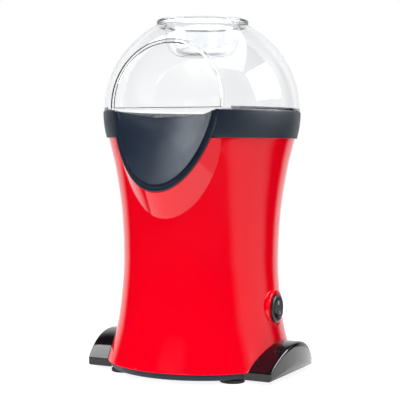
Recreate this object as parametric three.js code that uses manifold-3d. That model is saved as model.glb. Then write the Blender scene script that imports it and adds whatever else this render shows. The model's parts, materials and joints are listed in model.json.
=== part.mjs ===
// Hot-air popcorn maker: an hourglass body with a clear dome, a front chute, a lift-out measuring cup,
// and the fan, heater and chamber inside. Millimetres, +Z up. The origin is on the table under the
// body's axis, the chute faces -Y and the switch is on +X.
import * as THREE from 'three';
import { mergeVertices } from 'three/addons/utils/BufferGeometryUtils.js';
import Module from 'manifold-3d';

const wasm = await Module();
wasm.setup();

// ---- driving dimensions -------------------------------------------------------------------------

const GAP = 0.35;                 // clearance between pieces that rest on or beside each other
const ROUND = 32;                 // segments round a large turned piece
const SMALL = 10;                 // segments round a small turned piece

const TOTAL_HEIGHT = 290;
const PAD_TOP = 3;                // top of the rubber feet, underside of the base plate
const SHELL_BOTTOM = 8.4;
const SHELL_WALL = 2.4;
const SHELL_PROFILE = [           // radius, height of the hourglass outside
  [78.2, 8.4], [75.5, 15.7], [69.0, 40.9], [65.2, 74.4],
  [64.5, 99.5], [66.3, 132.9], [71.3, 166.3], [77.4, 192.3],
];
const SHELL_TOP = 196;            // the shell's spigot ends here, inside the collar

const COLLAR_BOTTOM = 192.6;
const COLLAR_TOP = 214.3;
const COLLAR_R_BOTTOM = 79.1;      // the collar swells from here to its widest, near its top
const COLLAR_R_TOP = 82;
const COLLAR_RIM_R = 80;          // the dome's skirt drops inside this radius
const COLLAR_EDGE = 0.7;          // bevel round the collar's top
const SPIGOT_ROOM_R = 77.8;       // the shell's spigot stands inside this radius
const DECK_TOP = 206.5;           // floor under the dome
const DECK_BOTTOM = 204;
const DECK_HOLE_R = 44.8;
const CORNER_ROOM = 44.8;         // half width of the notch that the chute's back corners drop into

const SPOUT_HALF_WIDTH = 47.4;    // ellipse of the chute's outline, seen from the front
const SPOUT_HALF_HEIGHT = 92.2;
const SPOUT_CENTRE_Z = 246;
const SPOUT_TOP = 213.5;
const CHUTE_WALL = 2.4;
const APRON_WALL = 2.2;
const CHUTE_BACK_Y = -48;         // where the chute meets the chamber's mouth
const CHUTE_BACK_Z = 207;
const CHUTE_CORNER_Y = -66;
const CHUTE_CORNER_Z = 212.5;
const CHUTE_OVERRUN = 0.12;       // carries the chute past the collar, to be trimmed round
const CHIN_DROP = 22.3;           // how far the chin runs down from the chute's edge to the body
const FRAME_LIP = 2.8;            // width of the frame's front edge outside the chute
const FRAME_INNER_R = 81.2;       // the frame's dark band ends at this radius, and the red chin begins

const DOME_R = 81.4;
const DOME_WALL = 2;
const DOME_CENTRE_Z = 214;
const DOME_HOLE_R = 35.2;
const MOUTH_Y = -64.6;            // the mouth is cut by a plane that leans back by MOUTH_LEAN
const MOUTH_LEAN = 6.1 * Math.PI / 180;
const MOUTH_BASE_Z = 215;
const BEAD = 2.4;                 // thickness of the bead round the mouth
const BAR_HALF_WIDTH = 49;        // bar across the bottom of the mouth
const BAR_HEIGHT = 1.8;
const SKIRT_BOTTOM = 209;
const SKIRT_OUTER_R = 79.6;
const SKIRT_INNER_R = 77.8;

const CUP_LIP_R = 38.2;
const CUP_DEPTH = 30;
const CUP_WALL = 1.6;
const CUP_FOOT_R = 16;
const CUP_BOWL_R = 30;
const CUP_BOWL_HEIGHT = 13;

const CHAMBER_R = 44;
const CHAMBER_WALL = 0.8;
const CHAMBER_BOTTOM = 112;
const CHAMBER_TOP = 205.4;
const CHAMBER_LIP_R = 46.8;
const CHAMBER_LIP_Z = 202.4;

const FAN_R = 42;                 // outside of the fan housing
const FAN_FLOOR = 46.3;
const FAN_TOP = 66.5;
const FAN_WALL = 1.5;
const IMPELLER_R = 36;
const BLADES = 10;
const SHAFT_R = 1;
const MOTOR_R = 14;
const MOTOR_BOTTOM = 16;
const MOTOR_SCREW_ORBIT = 8;
const SHIELD_R = 50;
const SHIELD_TOP = 150;
const SHIELD_SHOULDER = 82;
const SHIELD_WALL = 0.8;

const SWITCH_Z = 54.7;
const SWITCH_BOSS_X = 68.2;
const SWITCH_BOSS_R = 14.8;
const BEZEL_R = 11.6;
const BARREL_R = 9.9;             // round barrel of the switch, behind its bezel
const BARREL_BACK = 55;
const ROCKER_R = 8.3;
const ROCKER_PIVOT_X = 67.6;
const ROCKER_REST = -8.5 * Math.PI / 180;

const GLAND_Z = 22;
const GLAND_R = 6.5;
const GLAND_BORE = 3.4;
const GLAND_LAND_R = 11;          // flat round land that the gland's flange sits on
const GLAND_LAND_Y = 75.4;

const FOOT_HALF_WIDTH = 45;       // the side feet, along Y
const FOOT_BOTTOM = 2.6;
const FOOT_EDGE_TOP = 9;
const FOOT_CREST = 28.4;
const FOOT_END_X = 87.5;
const FOOT_CORNER_X = 82.8;
const FOOT_SCREW_X = 66;
const TONGUE_X = 60;              // a tongue on each side foot reaches in over the base plate
const TONGUE_HALF_WIDTH = 14;
const TONGUE_TOP = 8;

const PLATE_TOP = PAD_TOP + 2.4;
const PAD_ANGLES = [-139, -41, 41, 139];
const PAD_ORBIT = 65.6;
const PAD_R = 10;
const BASE_R = 74.5;
const BOSS_ANGLES = [-90, 28, 152];
const BOSS_ORBIT = 64;
const LEG_ANGLES = [90, -30, 210];
const LEG_ORBIT = 50;
const CLIP_ANGLES = [15, 90, 165];
const CLIP_ORBIT = 54;

const M3_HOLE = 1.45;             // radius of a pilot hole for a small screw
const DRILL = 12;                 // segments round a drilled hole

// ---- solids -------------------------------------------------------------------------------------

const rad = (degrees) => degrees * Math.PI / 180;

// A closed three.js geometry as a manifold solid, with its faces turned outward.
function solid(geometry) {
  const bare = geometry.clone();
  for (const name of Object.keys(bare.attributes)) {
    if (name !== 'position') bare.deleteAttribute(name);
  }
  const merged = mergeVertices(bare, 1e-4);
  const points = merged.attributes.position.array;
  const triangles = [];
  let volume = 0;
  const corner = [new THREE.Vector3(), new THREE.Vector3(), new THREE.Vector3()];
  for (let i = 0; i < merged.index.count; i += 3) {
    const face = [0, 1, 2].map((k) => merged.index.getX(i + k));
    if (face[0] === face[1] || face[1] === face[2] || face[2] === face[0]) continue;
    face.forEach((vertex, k) => corner[k].fromArray(points, vertex * 3));
    volume += corner[0].dot(corner[1].clone().cross(corner[2]));
    triangles.push(face);
  }
  const triVerts = triangles.flatMap(([a, b, c]) => (volume < 0 ? [a, c, b] : [a, b, c]));
  return new wasm.Manifold(new wasm.Mesh({
    numProp: 3,
    vertProperties: Float32Array.from(points),
    triVerts: Uint32Array.from(triVerts),
  }));
}

function geometryOf(shape) {
  const mesh = shape.getMesh();
  const geometry = new THREE.BufferGeometry();
  geometry.setAttribute('position', new THREE.BufferAttribute(Float32Array.from(mesh.vertProperties), 3));
  geometry.setIndex(new THREE.BufferAttribute(Uint32Array.from(mesh.triVerts), 1));
  geometry.computeVertexNormals();
  return geometry;
}

const union = (...shapes) => shapes.reduce((whole, next) => whole.add(next));

// A solid of revolution about Z from a closed outline of [radius, height] points.
function turned(outline, segments = ROUND) {
  const points = [...outline, outline[0]].map(([r, z]) => new THREE.Vector2(r, z));
  return solid(new THREE.LatheGeometry(points, segments).rotateX(Math.PI / 2));
}

function tube(inner, outer, z0, z1, segments) {
  return turned([[inner, z0], [outer, z0], [outer, z1], [inner, z1]], segments);
}

function disc(r, z0, z1, segments = SMALL) {
  const geometry = new THREE.CylinderGeometry(r, r, z1 - z0, segments).rotateX(Math.PI / 2);
  return geometry.translate(0, 0, (z0 + z1) / 2);
}

const rod = (r, z0, z1, segments) => solid(disc(r, z0, z1, segments));

// A cylinder along X or Y at a height.
function rodX(r, x0, x1, z, segments) {
  return solid(disc(r, x0, x1, segments).rotateY(Math.PI / 2).translate(0, 0, z));
}

function rodY(r, y0, y1, z, segments) {
  return solid(disc(r, -y1, -y0, segments).rotateX(Math.PI / 2).translate(0, 0, z));
}

function blockGeometry(x0, x1, y0, y1, z0, z1) {
  const geometry = new THREE.BoxGeometry(x1 - x0, y1 - y0, z1 - z0);
  return geometry.translate((x0 + x1) / 2, (y0 + y1) / 2, (z0 + z1) / 2);
}

const block = (...limits) => solid(blockGeometry(...limits));

// The same block turned about Z by an angle in degrees.
const spoke = (angle, ...limits) => solid(blockGeometry(...limits).rotateZ(rad(angle)));

const polar = (r, angle) => [r * Math.cos(rad(angle)), r * Math.sin(rad(angle))];

// A rod standing at a radius and angle from the axis.
function post(r, orbit, angle, z0, z1, segments) {
  const [x, y] = polar(orbit, angle);
  return solid(disc(r, z0, z1, segments).translate(x, y, 0));
}

// A closed solid between two matching surfaces, each a function of u and v from 0 to 1.
function between(near, far, nu, nv) {
  const points = [];
  const index = [];
  for (const surface of [near, far]) {
    for (let i = 0; i <= nu; i += 1) {
      for (let j = 0; j <= nv; j += 1) points.push(...surface(i / nu, j / nv).toArray());
    }
  }
  const count = (nu + 1) * (nv + 1);
  const at = (i, j) => i * (nv + 1) + j;
  const quad = (a, b, c, d) => index.push(a, b, c, a, c, d);
  for (let i = 0; i < nu; i += 1) {
    for (let j = 0; j < nv; j += 1) {
      quad(at(i, j), at(i, j + 1), at(i + 1, j + 1), at(i + 1, j));
      quad(count + at(i, j), count + at(i + 1, j), count + at(i + 1, j + 1), count + at(i, j + 1));
    }
    quad(at(i, 0), at(i + 1, 0), count + at(i + 1, 0), count + at(i, 0));
    quad(at(i + 1, nv), at(i, nv), count + at(i, nv), count + at(i + 1, nv));
  }
  for (let j = 0; j < nv; j += 1) {
    quad(at(0, j + 1), at(0, j), count + at(0, j), count + at(0, j + 1));
    quad(at(nu, j), at(nu, j + 1), count + at(nu, j + 1), count + at(nu, j));
  }
  const geometry = new THREE.BufferGeometry();
  geometry.setAttribute('position', new THREE.Float32BufferAttribute(points, 3));
  geometry.setIndex(index);
  return solid(geometry);
}

// The surface moved along its own normal, up and inward for a positive distance.
function moved(surface, distance) {
  const step = 1e-3;
  return (u, v) => {
    const u0 = Math.min(u, 1 - step);
    const v0 = Math.min(v, 1 - step);
    const along = surface(u0 + step, v0).sub(surface(u0, v0));
    const across = surface(u0, v0 + step).sub(surface(u0, v0));
    const normal = along.cross(across).normalize();
    return surface(u, v).add(normal.multiplyScalar(normal.z < 0 ? -distance : distance));
  };
}

// Everything straight above a surface, up to one height.
const above = (surface, top, nu, nv) => between(surface, (u, v) => surface(u, v).setZ(top), nu, nv);

// ---- materials ----------------------------------------------------------------------------------

const finish = (color, roughness, metalness, opacity = 1) => new THREE.MeshStandardMaterial({
  color, roughness, metalness, opacity, transparent: opacity < 1,
});

const red = finish(0xe8101f, 0.18, 0);
const darkPlastic = finish(0x2f3644, 0.42, 0);
const blackGloss = finish(0x17161b, 0.15, 0);
const blackSwitch = finish(0x15161a, 0.35, 0);
const rubber = finish(0x1b1c1e, 0.85, 0);
const clear = finish(0xf2f6fa, 0.05, 0, 0.25);
const aluminium = finish(0xc9ccd0, 0.35, 1);
const steel = finish(0xa8abb0, 0.4, 1);
const mica = finish(0xb59a6a, 0.6, 0);
const nichrome = finish(0x7d7468, 0.45, 1);
const motorSteel = finish(0x8f9499, 0.35, 1);
const whiteNylon = finish(0xe6e4dc, 0.5, 0);
const boardGreen = finish(0x2e6b45, 0.5, 0);
const brass = finish(0xb8934a, 0.35, 1);

const root = new THREE.Group();

function add(name, shape, material) {
  const mesh = new THREE.Mesh(shape.isBufferGeometry ? shape : geometryOf(shape), material);
  mesh.name = name;
  root.add(mesh);
  return mesh;
}

// ---- body outline -------------------------------------------------------------------------------

const shellCurve = new THREE.SplineCurve(SHELL_PROFILE.map(([r, z]) => new THREE.Vector2(r, z)));
const shellPoints = shellCurve.getPoints(8).map((p) => [p.x, p.y]);

// Outside radius of the body at a height, from the same points that the shell is turned from.
function bodyRadius(z) {
  const next = shellPoints.findIndex(([, height]) => height >= z);
  if (next <= 0) return next === 0 ? shellPoints[0][0] : shellPoints.at(-1)[0];
  const [r0, z0] = shellPoints[next - 1];
  const [r1, z1] = shellPoints[next];
  return r0 + (r1 - r0) * (z - z0) / (z1 - z0);
}

// The body as a solid, made smaller by an inset, from one height to another.
function bodySolid(inset, z0, z1) {
  const middle = shellPoints.filter(([, z]) => z > z0 && z < z1).map(([r, z]) => [r - inset, z]);
  return turned([[0, z0], [bodyRadius(z0) - inset, z0], ...middle, [bodyRadius(z1) - inset, z1], [0, z1]]);
}

// ---- spout surfaces -----------------------------------------------------------------------------

const SPOUT_START = Math.asin((SPOUT_CENTRE_Z - SPOUT_TOP) / SPOUT_HALF_HEIGHT);

// A point of the spout's outline on a cylinder of the collar's radius. A positive grow makes it larger.
function spoutEdge(u, grow = 0) {
  const angle = SPOUT_START + u * (Math.PI - 2 * SPOUT_START);
  const x = -(SPOUT_HALF_WIDTH + grow) * Math.cos(angle);
  const z = SPOUT_CENTRE_Z - (SPOUT_HALF_HEIGHT + grow) * Math.sin(angle);
  return new THREE.Vector3(x, -Math.sqrt(COLLAR_R_TOP ** 2 - x * x), z);
}

const CHUTE_CORNER_X = spoutEdge(1).x;

// The chute's underside: straight lines from the outline back to a shallow dip at the chamber's mouth.
function chuteSurface(u, v) {
  const front = spoutEdge(u);
  const across = (front.x / CHUTE_CORNER_X) ** 2;
  const back = new THREE.Vector3(
    front.x,
    CHUTE_BACK_Y + (CHUTE_CORNER_Y - CHUTE_BACK_Y) * across,
    CHUTE_BACK_Z + (CHUTE_CORNER_Z - CHUTE_BACK_Z) * across,
  );
  return front.lerp(back, v * (1 + CHUTE_OVERRUN) - CHUTE_OVERRUN);
}

// The skirt: from the frame's front edge down and back to the body, where the chin ends.
function skirtSurface(u, v) {
  const front = spoutEdge(u, FRAME_LIP);
  const z = front.z - CHIN_DROP;
  const radius = bodyRadius(z);
  const back = new THREE.Vector3(front.x * 1.01, 0, z);
  back.y = -Math.sqrt(radius ** 2 - back.x ** 2);
  const start = -0.3;
  const end = 1.3;
  return front.lerp(back, start + v * (end - start));
}

const SPOUT_STEPS = 16;
const ABOVE_ALL = 230;
const chuteSpace = above(moved(chuteSurface, -GAP), ABOVE_ALL, SPOUT_STEPS, 3);
const hood = above(skirtSurface, ABOVE_ALL, SPOUT_STEPS, 2);
const hoodInside = above(moved(skirtSurface, SHELL_WALL), ABOVE_ALL, SPOUT_STEPS, 2);
const underside = (from, to) => between(moved(chuteSurface, from), moved(chuteSurface, to), SPOUT_STEPS, 3);
const apronBlank = underside(-GAP, -GAP - APRON_WALL);
const apronRoom = underside(0, -2 * GAP - APRON_WALL);

// ---- outer shell --------------------------------------------------------------------------------

function outerShell() {
  const chin = hood.intersect(rod(FRAME_INNER_R - GAP, 120, COLLAR_BOTTOM - GAP, ROUND));
  const switchLand = rodX(SWITCH_BOSS_R, BARREL_BACK, SWITCH_BOSS_X, SWITCH_Z, ROUND);
  const aboveLand = rodX(SWITCH_BOSS_R, SWITCH_BOSS_X, 80, SWITCH_Z, ROUND);
  const glandLand = rodY(GLAND_LAND_R, 60, GLAND_LAND_Y, GLAND_Z, 24);
  const aboveGland = rodY(GLAND_LAND_R, GLAND_LAND_Y, 90, GLAND_Z, 24);
  let shell = union(bodySolid(0, SHELL_BOTTOM, SHELL_TOP), chin, switchLand, glandLand)
    .subtract(aboveLand)
    .subtract(aboveGland)
    .subtract(bodySolid(SHELL_WALL, SHELL_BOTTOM - 1, SHELL_TOP + 1))
    .subtract(hoodInside)
    .subtract(apronRoom)
    .subtract(rodX(BARREL_R + GAP, BARREL_BACK, 80, SWITCH_Z, ROUND))
    .subtract(rodY(GLAND_R + GAP, 60, 85, GLAND_Z, 24));
  for (const angle of BOSS_ANGLES) {
    const rib = spoke(angle, BOSS_ORBIT, 73, -1.2, 1.2, 12, 34).intersect(bodySolid(1, 9, 40));
    shell = union(shell, post(4.2, BOSS_ORBIT, angle, 7.7, 34), rib)
      .subtract(post(1.85, BOSS_ORBIT, angle, 7, 24, DRILL));
  }
  return shell;
}
add('outer_shell', outerShell(), red);

// ---- top ring: collar, deck, spout frame and the apron under the chute ---------------------------

// Outside of the collar at a share of its height: it swells and is upright near its top.
function collarPoint(share) {
  const r = COLLAR_R_BOTTOM + (COLLAR_R_TOP - COLLAR_R_BOTTOM) * (1 - (1 - share) ** 2);
  return [r, COLLAR_BOTTOM + (COLLAR_TOP - COLLAR_EDGE - COLLAR_BOTTOM) * share];
}

function topRing() {
  const collar = turned([
    [SPIGOT_ROOM_R, COLLAR_BOTTOM], ...[0, 0.33, 0.66, 1].map(collarPoint),
    [COLLAR_R_TOP - COLLAR_EDGE, COLLAR_TOP], [COLLAR_RIM_R, COLLAR_TOP], [COLLAR_RIM_R, DECK_TOP],
    [DECK_HOLE_R, DECK_TOP], [DECK_HOLE_R, DECK_BOTTOM], [SPIGOT_ROOM_R, DECK_BOTTOM],
  ], ROUND);
  const frame = hood.intersect(tube(FRAME_INNER_R, COLLAR_R_TOP, 150, SPOUT_TOP, ROUND));
  const apron = apronBlank.intersect(hood).intersect(rod(COLLAR_R_TOP, 150, SPOUT_TOP, ROUND));
  const cornerRoom = block(
    -CORNER_ROOM, CORNER_ROOM, CHUTE_CORNER_Y - 2, CHUTE_CORNER_Y + 1.5, 211, COLLAR_TOP + 1,
  );
  let ring = union(collar, frame).subtract(chuteSpace).subtract(cornerRoom).add(apron);
  for (const angle of CLIP_ANGLES) {
    ring = ring.add(post(3.5, CLIP_ORBIT, angle, 202.4, 205))
      .subtract(post(M3_HOLE, CLIP_ORBIT, angle, 202, 205.9, DRILL));
  }
  return ring;
}
add('top_ring', topRing(), darkPlastic);

// ---- lid: dome and chute ------------------------------------------------------------------------

// Points of an arc in the turning plane, by angle above the horizontal.
function arc(r, from, to, steps) {
  return Array.from({ length: steps + 1 }, (_, i) => {
    const angle = from + (to - from) * i / steps;
    return [r * Math.cos(angle), DOME_CENTRE_Z + r * Math.sin(angle)];
  });
}

function dome() {
  const shoulder = COLLAR_TOP + GAP;
  const inner = DOME_R - DOME_WALL;
  const start = Math.asin((shoulder - DOME_CENTRE_Z) / DOME_R);
  const cap = turned([
    [SKIRT_INNER_R, SKIRT_BOTTOM], [SKIRT_OUTER_R, SKIRT_BOTTOM], [SKIRT_OUTER_R, shoulder],
    ...arc(DOME_R, start, Math.acos(DOME_HOLE_R / DOME_R), 6),
    ...arc(inner, Math.acos(DOME_HOLE_R / inner), start * 2, 6),
    [SKIRT_INNER_R, shoulder + 0.5],
  ]);
  const cutter = solid(blockGeometry(-90, 90, -120, 0, -30, 90)
    .rotateX(-MOUTH_LEAN).translate(0, MOUTH_Y, MOUTH_BASE_Z));
  const normal = new THREE.Vector3(0, -Math.cos(MOUTH_LEAN), Math.sin(MOUTH_LEAN));
  const reach = normal.dot(new THREE.Vector3(0, MOUTH_Y, MOUTH_BASE_Z - DOME_CENTRE_Z));
  const rimR = Math.sqrt(DOME_R ** 2 - reach ** 2) - 0.06;
  const beadIn = rimR - BEAD;
  const beadOutline = [[beadIn, -BEAD], [rimR, -BEAD], [rimR, 0], [beadIn, 0], [beadIn, -BEAD]];
  const middle = normal.multiplyScalar(reach).add(new THREE.Vector3(0, 0, DOME_CENTRE_Z));
  const bead = solid(new THREE.LatheGeometry(beadOutline.map(([r, h]) => new THREE.Vector2(r, h)), ROUND)
    .rotateX(Math.PI / 2).rotateX(Math.PI / 2 - MOUTH_LEAN)
    .translate(...middle.toArray()))
    .subtract(block(-90, 90, -90, -40, 150, shoulder));
  const bar = block(
    -BAR_HALF_WIDTH, BAR_HALF_WIDTH, MOUTH_Y - 0.3, MOUTH_Y + DOME_WALL, shoulder, shoulder + BAR_HEIGHT,
  );
  const chuteCorners = block(-90, 90, -90, -59, 200, COLLAR_TOP);
  return union(cap.subtract(cutter).subtract(chuteCorners), bead, bar);
}
add('dome', dome(), clear);

function chute() {
  const tray = between(moved(chuteSurface, CHUTE_WALL), moved(chuteSurface, 0), SPOUT_STEPS, 4);
  return tray.intersect(rod(COLLAR_R_TOP - 0.1, 150, SPOUT_TOP, ROUND));
}
add('chute', chute(), darkPlastic);

// ---- measuring cup ------------------------------------------------------------------------------

function measuringCup() {
  const top = TOTAL_HEIGHT;
  const bottom = top - CUP_DEPTH;
  const shoulder = bottom + CUP_BOWL_HEIGHT;
  const bowl = (r, low) => Array.from({ length: 6 }, (_, i) => {
    const angle = i / 5 * Math.PI / 2;
    return [CUP_FOOT_R + (r - CUP_FOOT_R) * Math.sin(angle), shoulder - (shoulder - low) * Math.cos(angle)];
  });
  return turned([
    [0, bottom], ...bowl(CUP_BOWL_R, bottom), [32.4, top - 1.8], [36.4, top - 1.8], [36.4, top - 2.8],
    [CUP_LIP_R, top - 3.7], [CUP_LIP_R, top - 0.8], [CUP_LIP_R - 0.8, top], [31, top],
    ...bowl(CUP_BOWL_R - CUP_WALL, bottom + CUP_WALL).reverse(), [0, bottom + CUP_WALL],
  ], 28);
}
add('measuring_cup', measuringCup(), clear);

// ---- base plate and feet ------------------------------------------------------------------------

function basePlate() {
  let plate = union(rod(BASE_R, PAD_TOP, PLATE_TOP, ROUND), tube(72.2, BASE_R, PLATE_TOP - 1, 8));
  for (let i = 0; i < 8; i += 1) {
    plate = plate.subtract(spoke(i * 45 + 22.5, 16, 40, -1.7, 1.7, 0, 10));
  }
  for (const angle of LEG_ANGLES) {
    plate = plate.add(post(4.5, LEG_ORBIT, angle, PLATE_TOP - 1, FAN_FLOOR - GAP))
      .subtract(post(M3_HOLE, LEG_ORBIT, angle, 30, 60, DRILL));
  }
  for (const angle of BOSS_ANGLES) {
    plate = plate.add(post(6, BOSS_ORBIT, angle, PLATE_TOP - 1, 7.2))
      .subtract(post(3.9, BOSS_ORBIT, angle, 0, 5.2))
      .subtract(post(1.9, BOSS_ORBIT, angle, 0, 9, DRILL));
  }
  for (const angle of PAD_ANGLES) plate = plate.subtract(post(3.3, PAD_ORBIT, angle, 0, 9));
  for (const side of [0, 180]) {
    const slotHalf = TONGUE_HALF_WIDTH + GAP;
    plate = plate.subtract(spoke(side, 70, 76, -slotHalf, slotHalf, PLATE_TOP, 9))
      .subtract(post(3.6, FOOT_SCREW_X, side, 0, 4.2))
      .subtract(post(1.8, FOOT_SCREW_X, side, 0, 9, DRILL));
  }
  return plate;
}
add('base_plate', basePlate(), darkPlastic);

const padOutline = [
  [0, 0], [PAD_R - 0.8, 0], [PAD_R, 0.8], [PAD_R, PAD_TOP - GAP], [3, PAD_TOP - GAP], [3, 6.5], [0, 6.5],
];
['front_left', 'front_right', 'rear_right', 'rear_left'].forEach((place, i) => {
  const pad = add(`rubber_foot_${place}`, turned(padOutline, 16), rubber);
  pad.position.set(...polar(PAD_ORBIT, PAD_ANGLES[i]), 0);
});

function sideFoot() {
  const rise = FOOT_CREST - FOOT_EDGE_TOP;
  const archR = (FOOT_HALF_WIDTH ** 2 + rise ** 2) / (2 * rise);
  const archAngle = Math.asin(FOOT_HALF_WIDTH / archR);
  const side = new THREE.Shape();
  side.moveTo(-FOOT_HALF_WIDTH, FOOT_BOTTOM);
  side.lineTo(FOOT_HALF_WIDTH, FOOT_BOTTOM);
  side.absarc(0, FOOT_CREST - archR, archR, Math.PI / 2 - archAngle, Math.PI / 2 + archAngle);
  side.closePath();
  const toSide = new THREE.Matrix4().makeBasis(
    new THREE.Vector3(0, 1, 0), new THREE.Vector3(0, 0, 1), new THREE.Vector3(1, 0, 0),
  );
  const long = new THREE.ExtrudeGeometry(side, { depth: 60, bevelEnabled: false, curveSegments: 14 });
  const bulge = FOOT_END_X - FOOT_CORNER_X;
  const endR = (FOOT_HALF_WIDTH ** 2 + bulge ** 2) / (2 * bulge);
  const endAngle = Math.asin(FOOT_HALF_WIDTH / endR);
  const plan = new THREE.Shape();
  plan.moveTo(40, FOOT_HALF_WIDTH);
  plan.lineTo(40, -FOOT_HALF_WIDTH);
  plan.absarc(FOOT_END_X - endR, 0, endR, -endAngle, endAngle);
  plan.closePath();
  const outline = new THREE.ExtrudeGeometry(plan, { depth: 60, bevelEnabled: false, curveSegments: 8 });
  const tongue = block(TONGUE_X, 80, -TONGUE_HALF_WIDTH, TONGUE_HALF_WIDTH, PLATE_TOP + GAP, TONGUE_TOP);
  return solid(long.applyMatrix4(toSide).translate(40, 0, 0)).intersect(solid(outline))
    .subtract(bodySolid(-GAP, SHELL_BOTTOM - GAP, 60))
    .subtract(rod(BASE_R + GAP, 0, SHELL_BOTTOM, ROUND))
    .add(tongue)
    .subtract(post(1.75, FOOT_SCREW_X, 0, 5, 9, DRILL));
}
const footShape = geometryOf(sideFoot());
add('side_foot_right', footShape, blackGloss);
add('side_foot_left', solid(footShape.clone().scale(-1, 1, 1)), blackGloss);

// ---- screws -------------------------------------------------------------------------------------

// A pan-head screw pointing up, its head's underside at the height given.
const screwShape = (headR, headHeight, shankR, length) => turned([
  [0, -headHeight], [headR * 0.8, -headHeight], [headR, -headHeight * 0.5], [headR, 0], [shankR, 0],
  [shankR, length - shankR], [0, length],
], 10);

function addScrews(name, places, shape, z) {
  places.forEach(([r, angle], i) => {
    const screw = add(`${name}_${i + 1}`, shape, steel);
    screw.position.set(...polar(r, angle), z);
  });
}
addScrews('base_screw', BOSS_ANGLES.map((a) => [BOSS_ORBIT, a]), screwShape(3.4, 1.5, 1.45, 16), 4.85);
addScrews('side_foot_screw', [0, 180].map((a) => [FOOT_SCREW_X, a]), screwShape(3.2, 0.8, 1.4, 3.6), 3.9);
addScrews('clip_screw', CLIP_ANGLES.map((a) => [CLIP_ORBIT, a]), screwShape(2.8, 1.6, 1.1, 6.6), 198.6);

// ---- popping chamber and its clips --------------------------------------------------------------

function poppingChamber() {
  const bore = CHAMBER_R - CHAMBER_WALL;
  const lipTop = CHAMBER_LIP_Z + 1;
  let cup = turned([
    [0, CHAMBER_BOTTOM + 3], [30, CHAMBER_BOTTOM], [40, CHAMBER_BOTTOM], [CHAMBER_R, CHAMBER_BOTTOM + 4],
    [CHAMBER_R, CHAMBER_LIP_Z], [CHAMBER_LIP_R, CHAMBER_LIP_Z], [CHAMBER_LIP_R, lipTop],
    [CHAMBER_R, lipTop], [CHAMBER_R, CHAMBER_TOP],
    [bore, CHAMBER_TOP], [bore, CHAMBER_BOTTOM + 4.4], [39.6, CHAMBER_BOTTOM + CHAMBER_WALL],
    [30, CHAMBER_BOTTOM + CHAMBER_WALL], [0, CHAMBER_BOTTOM + 3 + CHAMBER_WALL],
  ], 28);
  for (let i = 0; i < 12; i += 1) {
    const slot = blockGeometry(38, 48, -1, 1, -7, 7).rotateX(rad(25)).translate(0, 0, 127);
    cup = cup.subtract(solid(slot.rotateZ(rad(i * 30))));
  }
  return cup;
}
add('popping_chamber', poppingChamber(), aluminium);

CLIP_ANGLES.forEach((angle, i) => {
  const clip = block(45.3, 58, -5, 5, 199, 202).subtract(rod(44.4, 190, 210, ROUND))
    .subtract(post(M3_HOLE, CLIP_ORBIT, 0, 190, 210, DRILL));
  add(`chamber_clip_${i + 1}`, clip, steel).rotation.z = rad(angle);
});

// ---- air duct, heater and fan -------------------------------------------------------------------

add('heat_shield', turned([
  [FAN_R - 1.1, FAN_TOP + GAP], [FAN_R - 0.3, FAN_TOP + GAP],
  [SHIELD_R, SHIELD_SHOULDER], [SHIELD_R, SHIELD_TOP],
  [CHAMBER_R + 1, SHIELD_TOP], [CHAMBER_R + 1, SHIELD_TOP - SHIELD_WALL],
  [SHIELD_R - SHIELD_WALL, SHIELD_TOP - SHIELD_WALL], [SHIELD_R - SHIELD_WALL, SHIELD_SHOULDER + 0.2],
], 24), steel);

function fanHousing() {
  const floorTop = FAN_FLOOR + 1.7;
  const wall = tube(FAN_R - FAN_WALL, FAN_R, floorTop - 0.5, FAN_TOP, 24);
  let housing = union(rod(FAN_R, FAN_FLOOR, floorTop, 24), wall);
  for (let i = 0; i < 6; i += 1) {
    housing = housing.subtract(spoke(i * 60 + 30, 17, 30, -2.2, 2.2, 40, 49));
  }
  for (const angle of LEG_ANGLES) {
    housing = housing.add(spoke(angle, FAN_R - 1, 54.5, -5, 5, FAN_FLOOR, floorTop))
      .subtract(post(M3_HOLE, LEG_ORBIT, angle, 40, 50, DRILL));
  }
  for (const side of [0, 180]) {
    housing = housing.subtract(post(1.6, MOTOR_SCREW_ORBIT, side, 40, 50, DRILL));
  }
  return housing.subtract(rod(3.5, 40, 50));
}
add('fan_housing', fanHousing(), whiteNylon);

function legScrew() {
  return turned([[0, -10], [1.1, -9], [1.1, 0], [2.8, 0], [2.8, 1], [2.2, 1.7], [0, 1.7]], 10);
}
addScrews('duct_screw', LEG_ANGLES.map((a) => [LEG_ORBIT, a]), legScrew(), FAN_FLOOR + 2.05);
addScrews('motor_screw', [0, 180].map((a) => [MOTOR_SCREW_ORBIT, a]), turned(
  [[0, -6], [1.2, -5.4], [1.2, 0], [2.4, 0], [2.4, 0.8], [1.9, 1.3], [0, 1.3]], 10,
), FAN_FLOOR + 2.05);

const CARD_HALF = 33;
const CARD_Z = [78, 91, 104];
add('mica_card_x', block(-CARD_HALF, CARD_HALF, -0.6, 0.6, CARD_Z[0], CARD_Z[2])
  .subtract(block(-1, 1, -2, 2, CARD_Z[1], CARD_Z[2] + 1)), mica);
add('mica_card_y', block(-0.6, 0.6, -CARD_HALF, CARD_HALF, CARD_Z[0], CARD_Z[2])
  .subtract(block(-2, 2, -1, 1, CARD_Z[0] - 1, CARD_Z[1] + GAP)), mica);

class Helix extends THREE.Curve {
  constructor(radius, low, high, turns) {
    super();
    Object.assign(this, { radius, low, high, turns });
  }

  getPoint(t, target = new THREE.Vector3()) {
    const angle = 2 * Math.PI * this.turns * t;
    const z = this.low + (this.high - this.low) * t;
    return target.set(this.radius * Math.cos(angle), this.radius * Math.sin(angle), z);
  }
}

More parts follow.
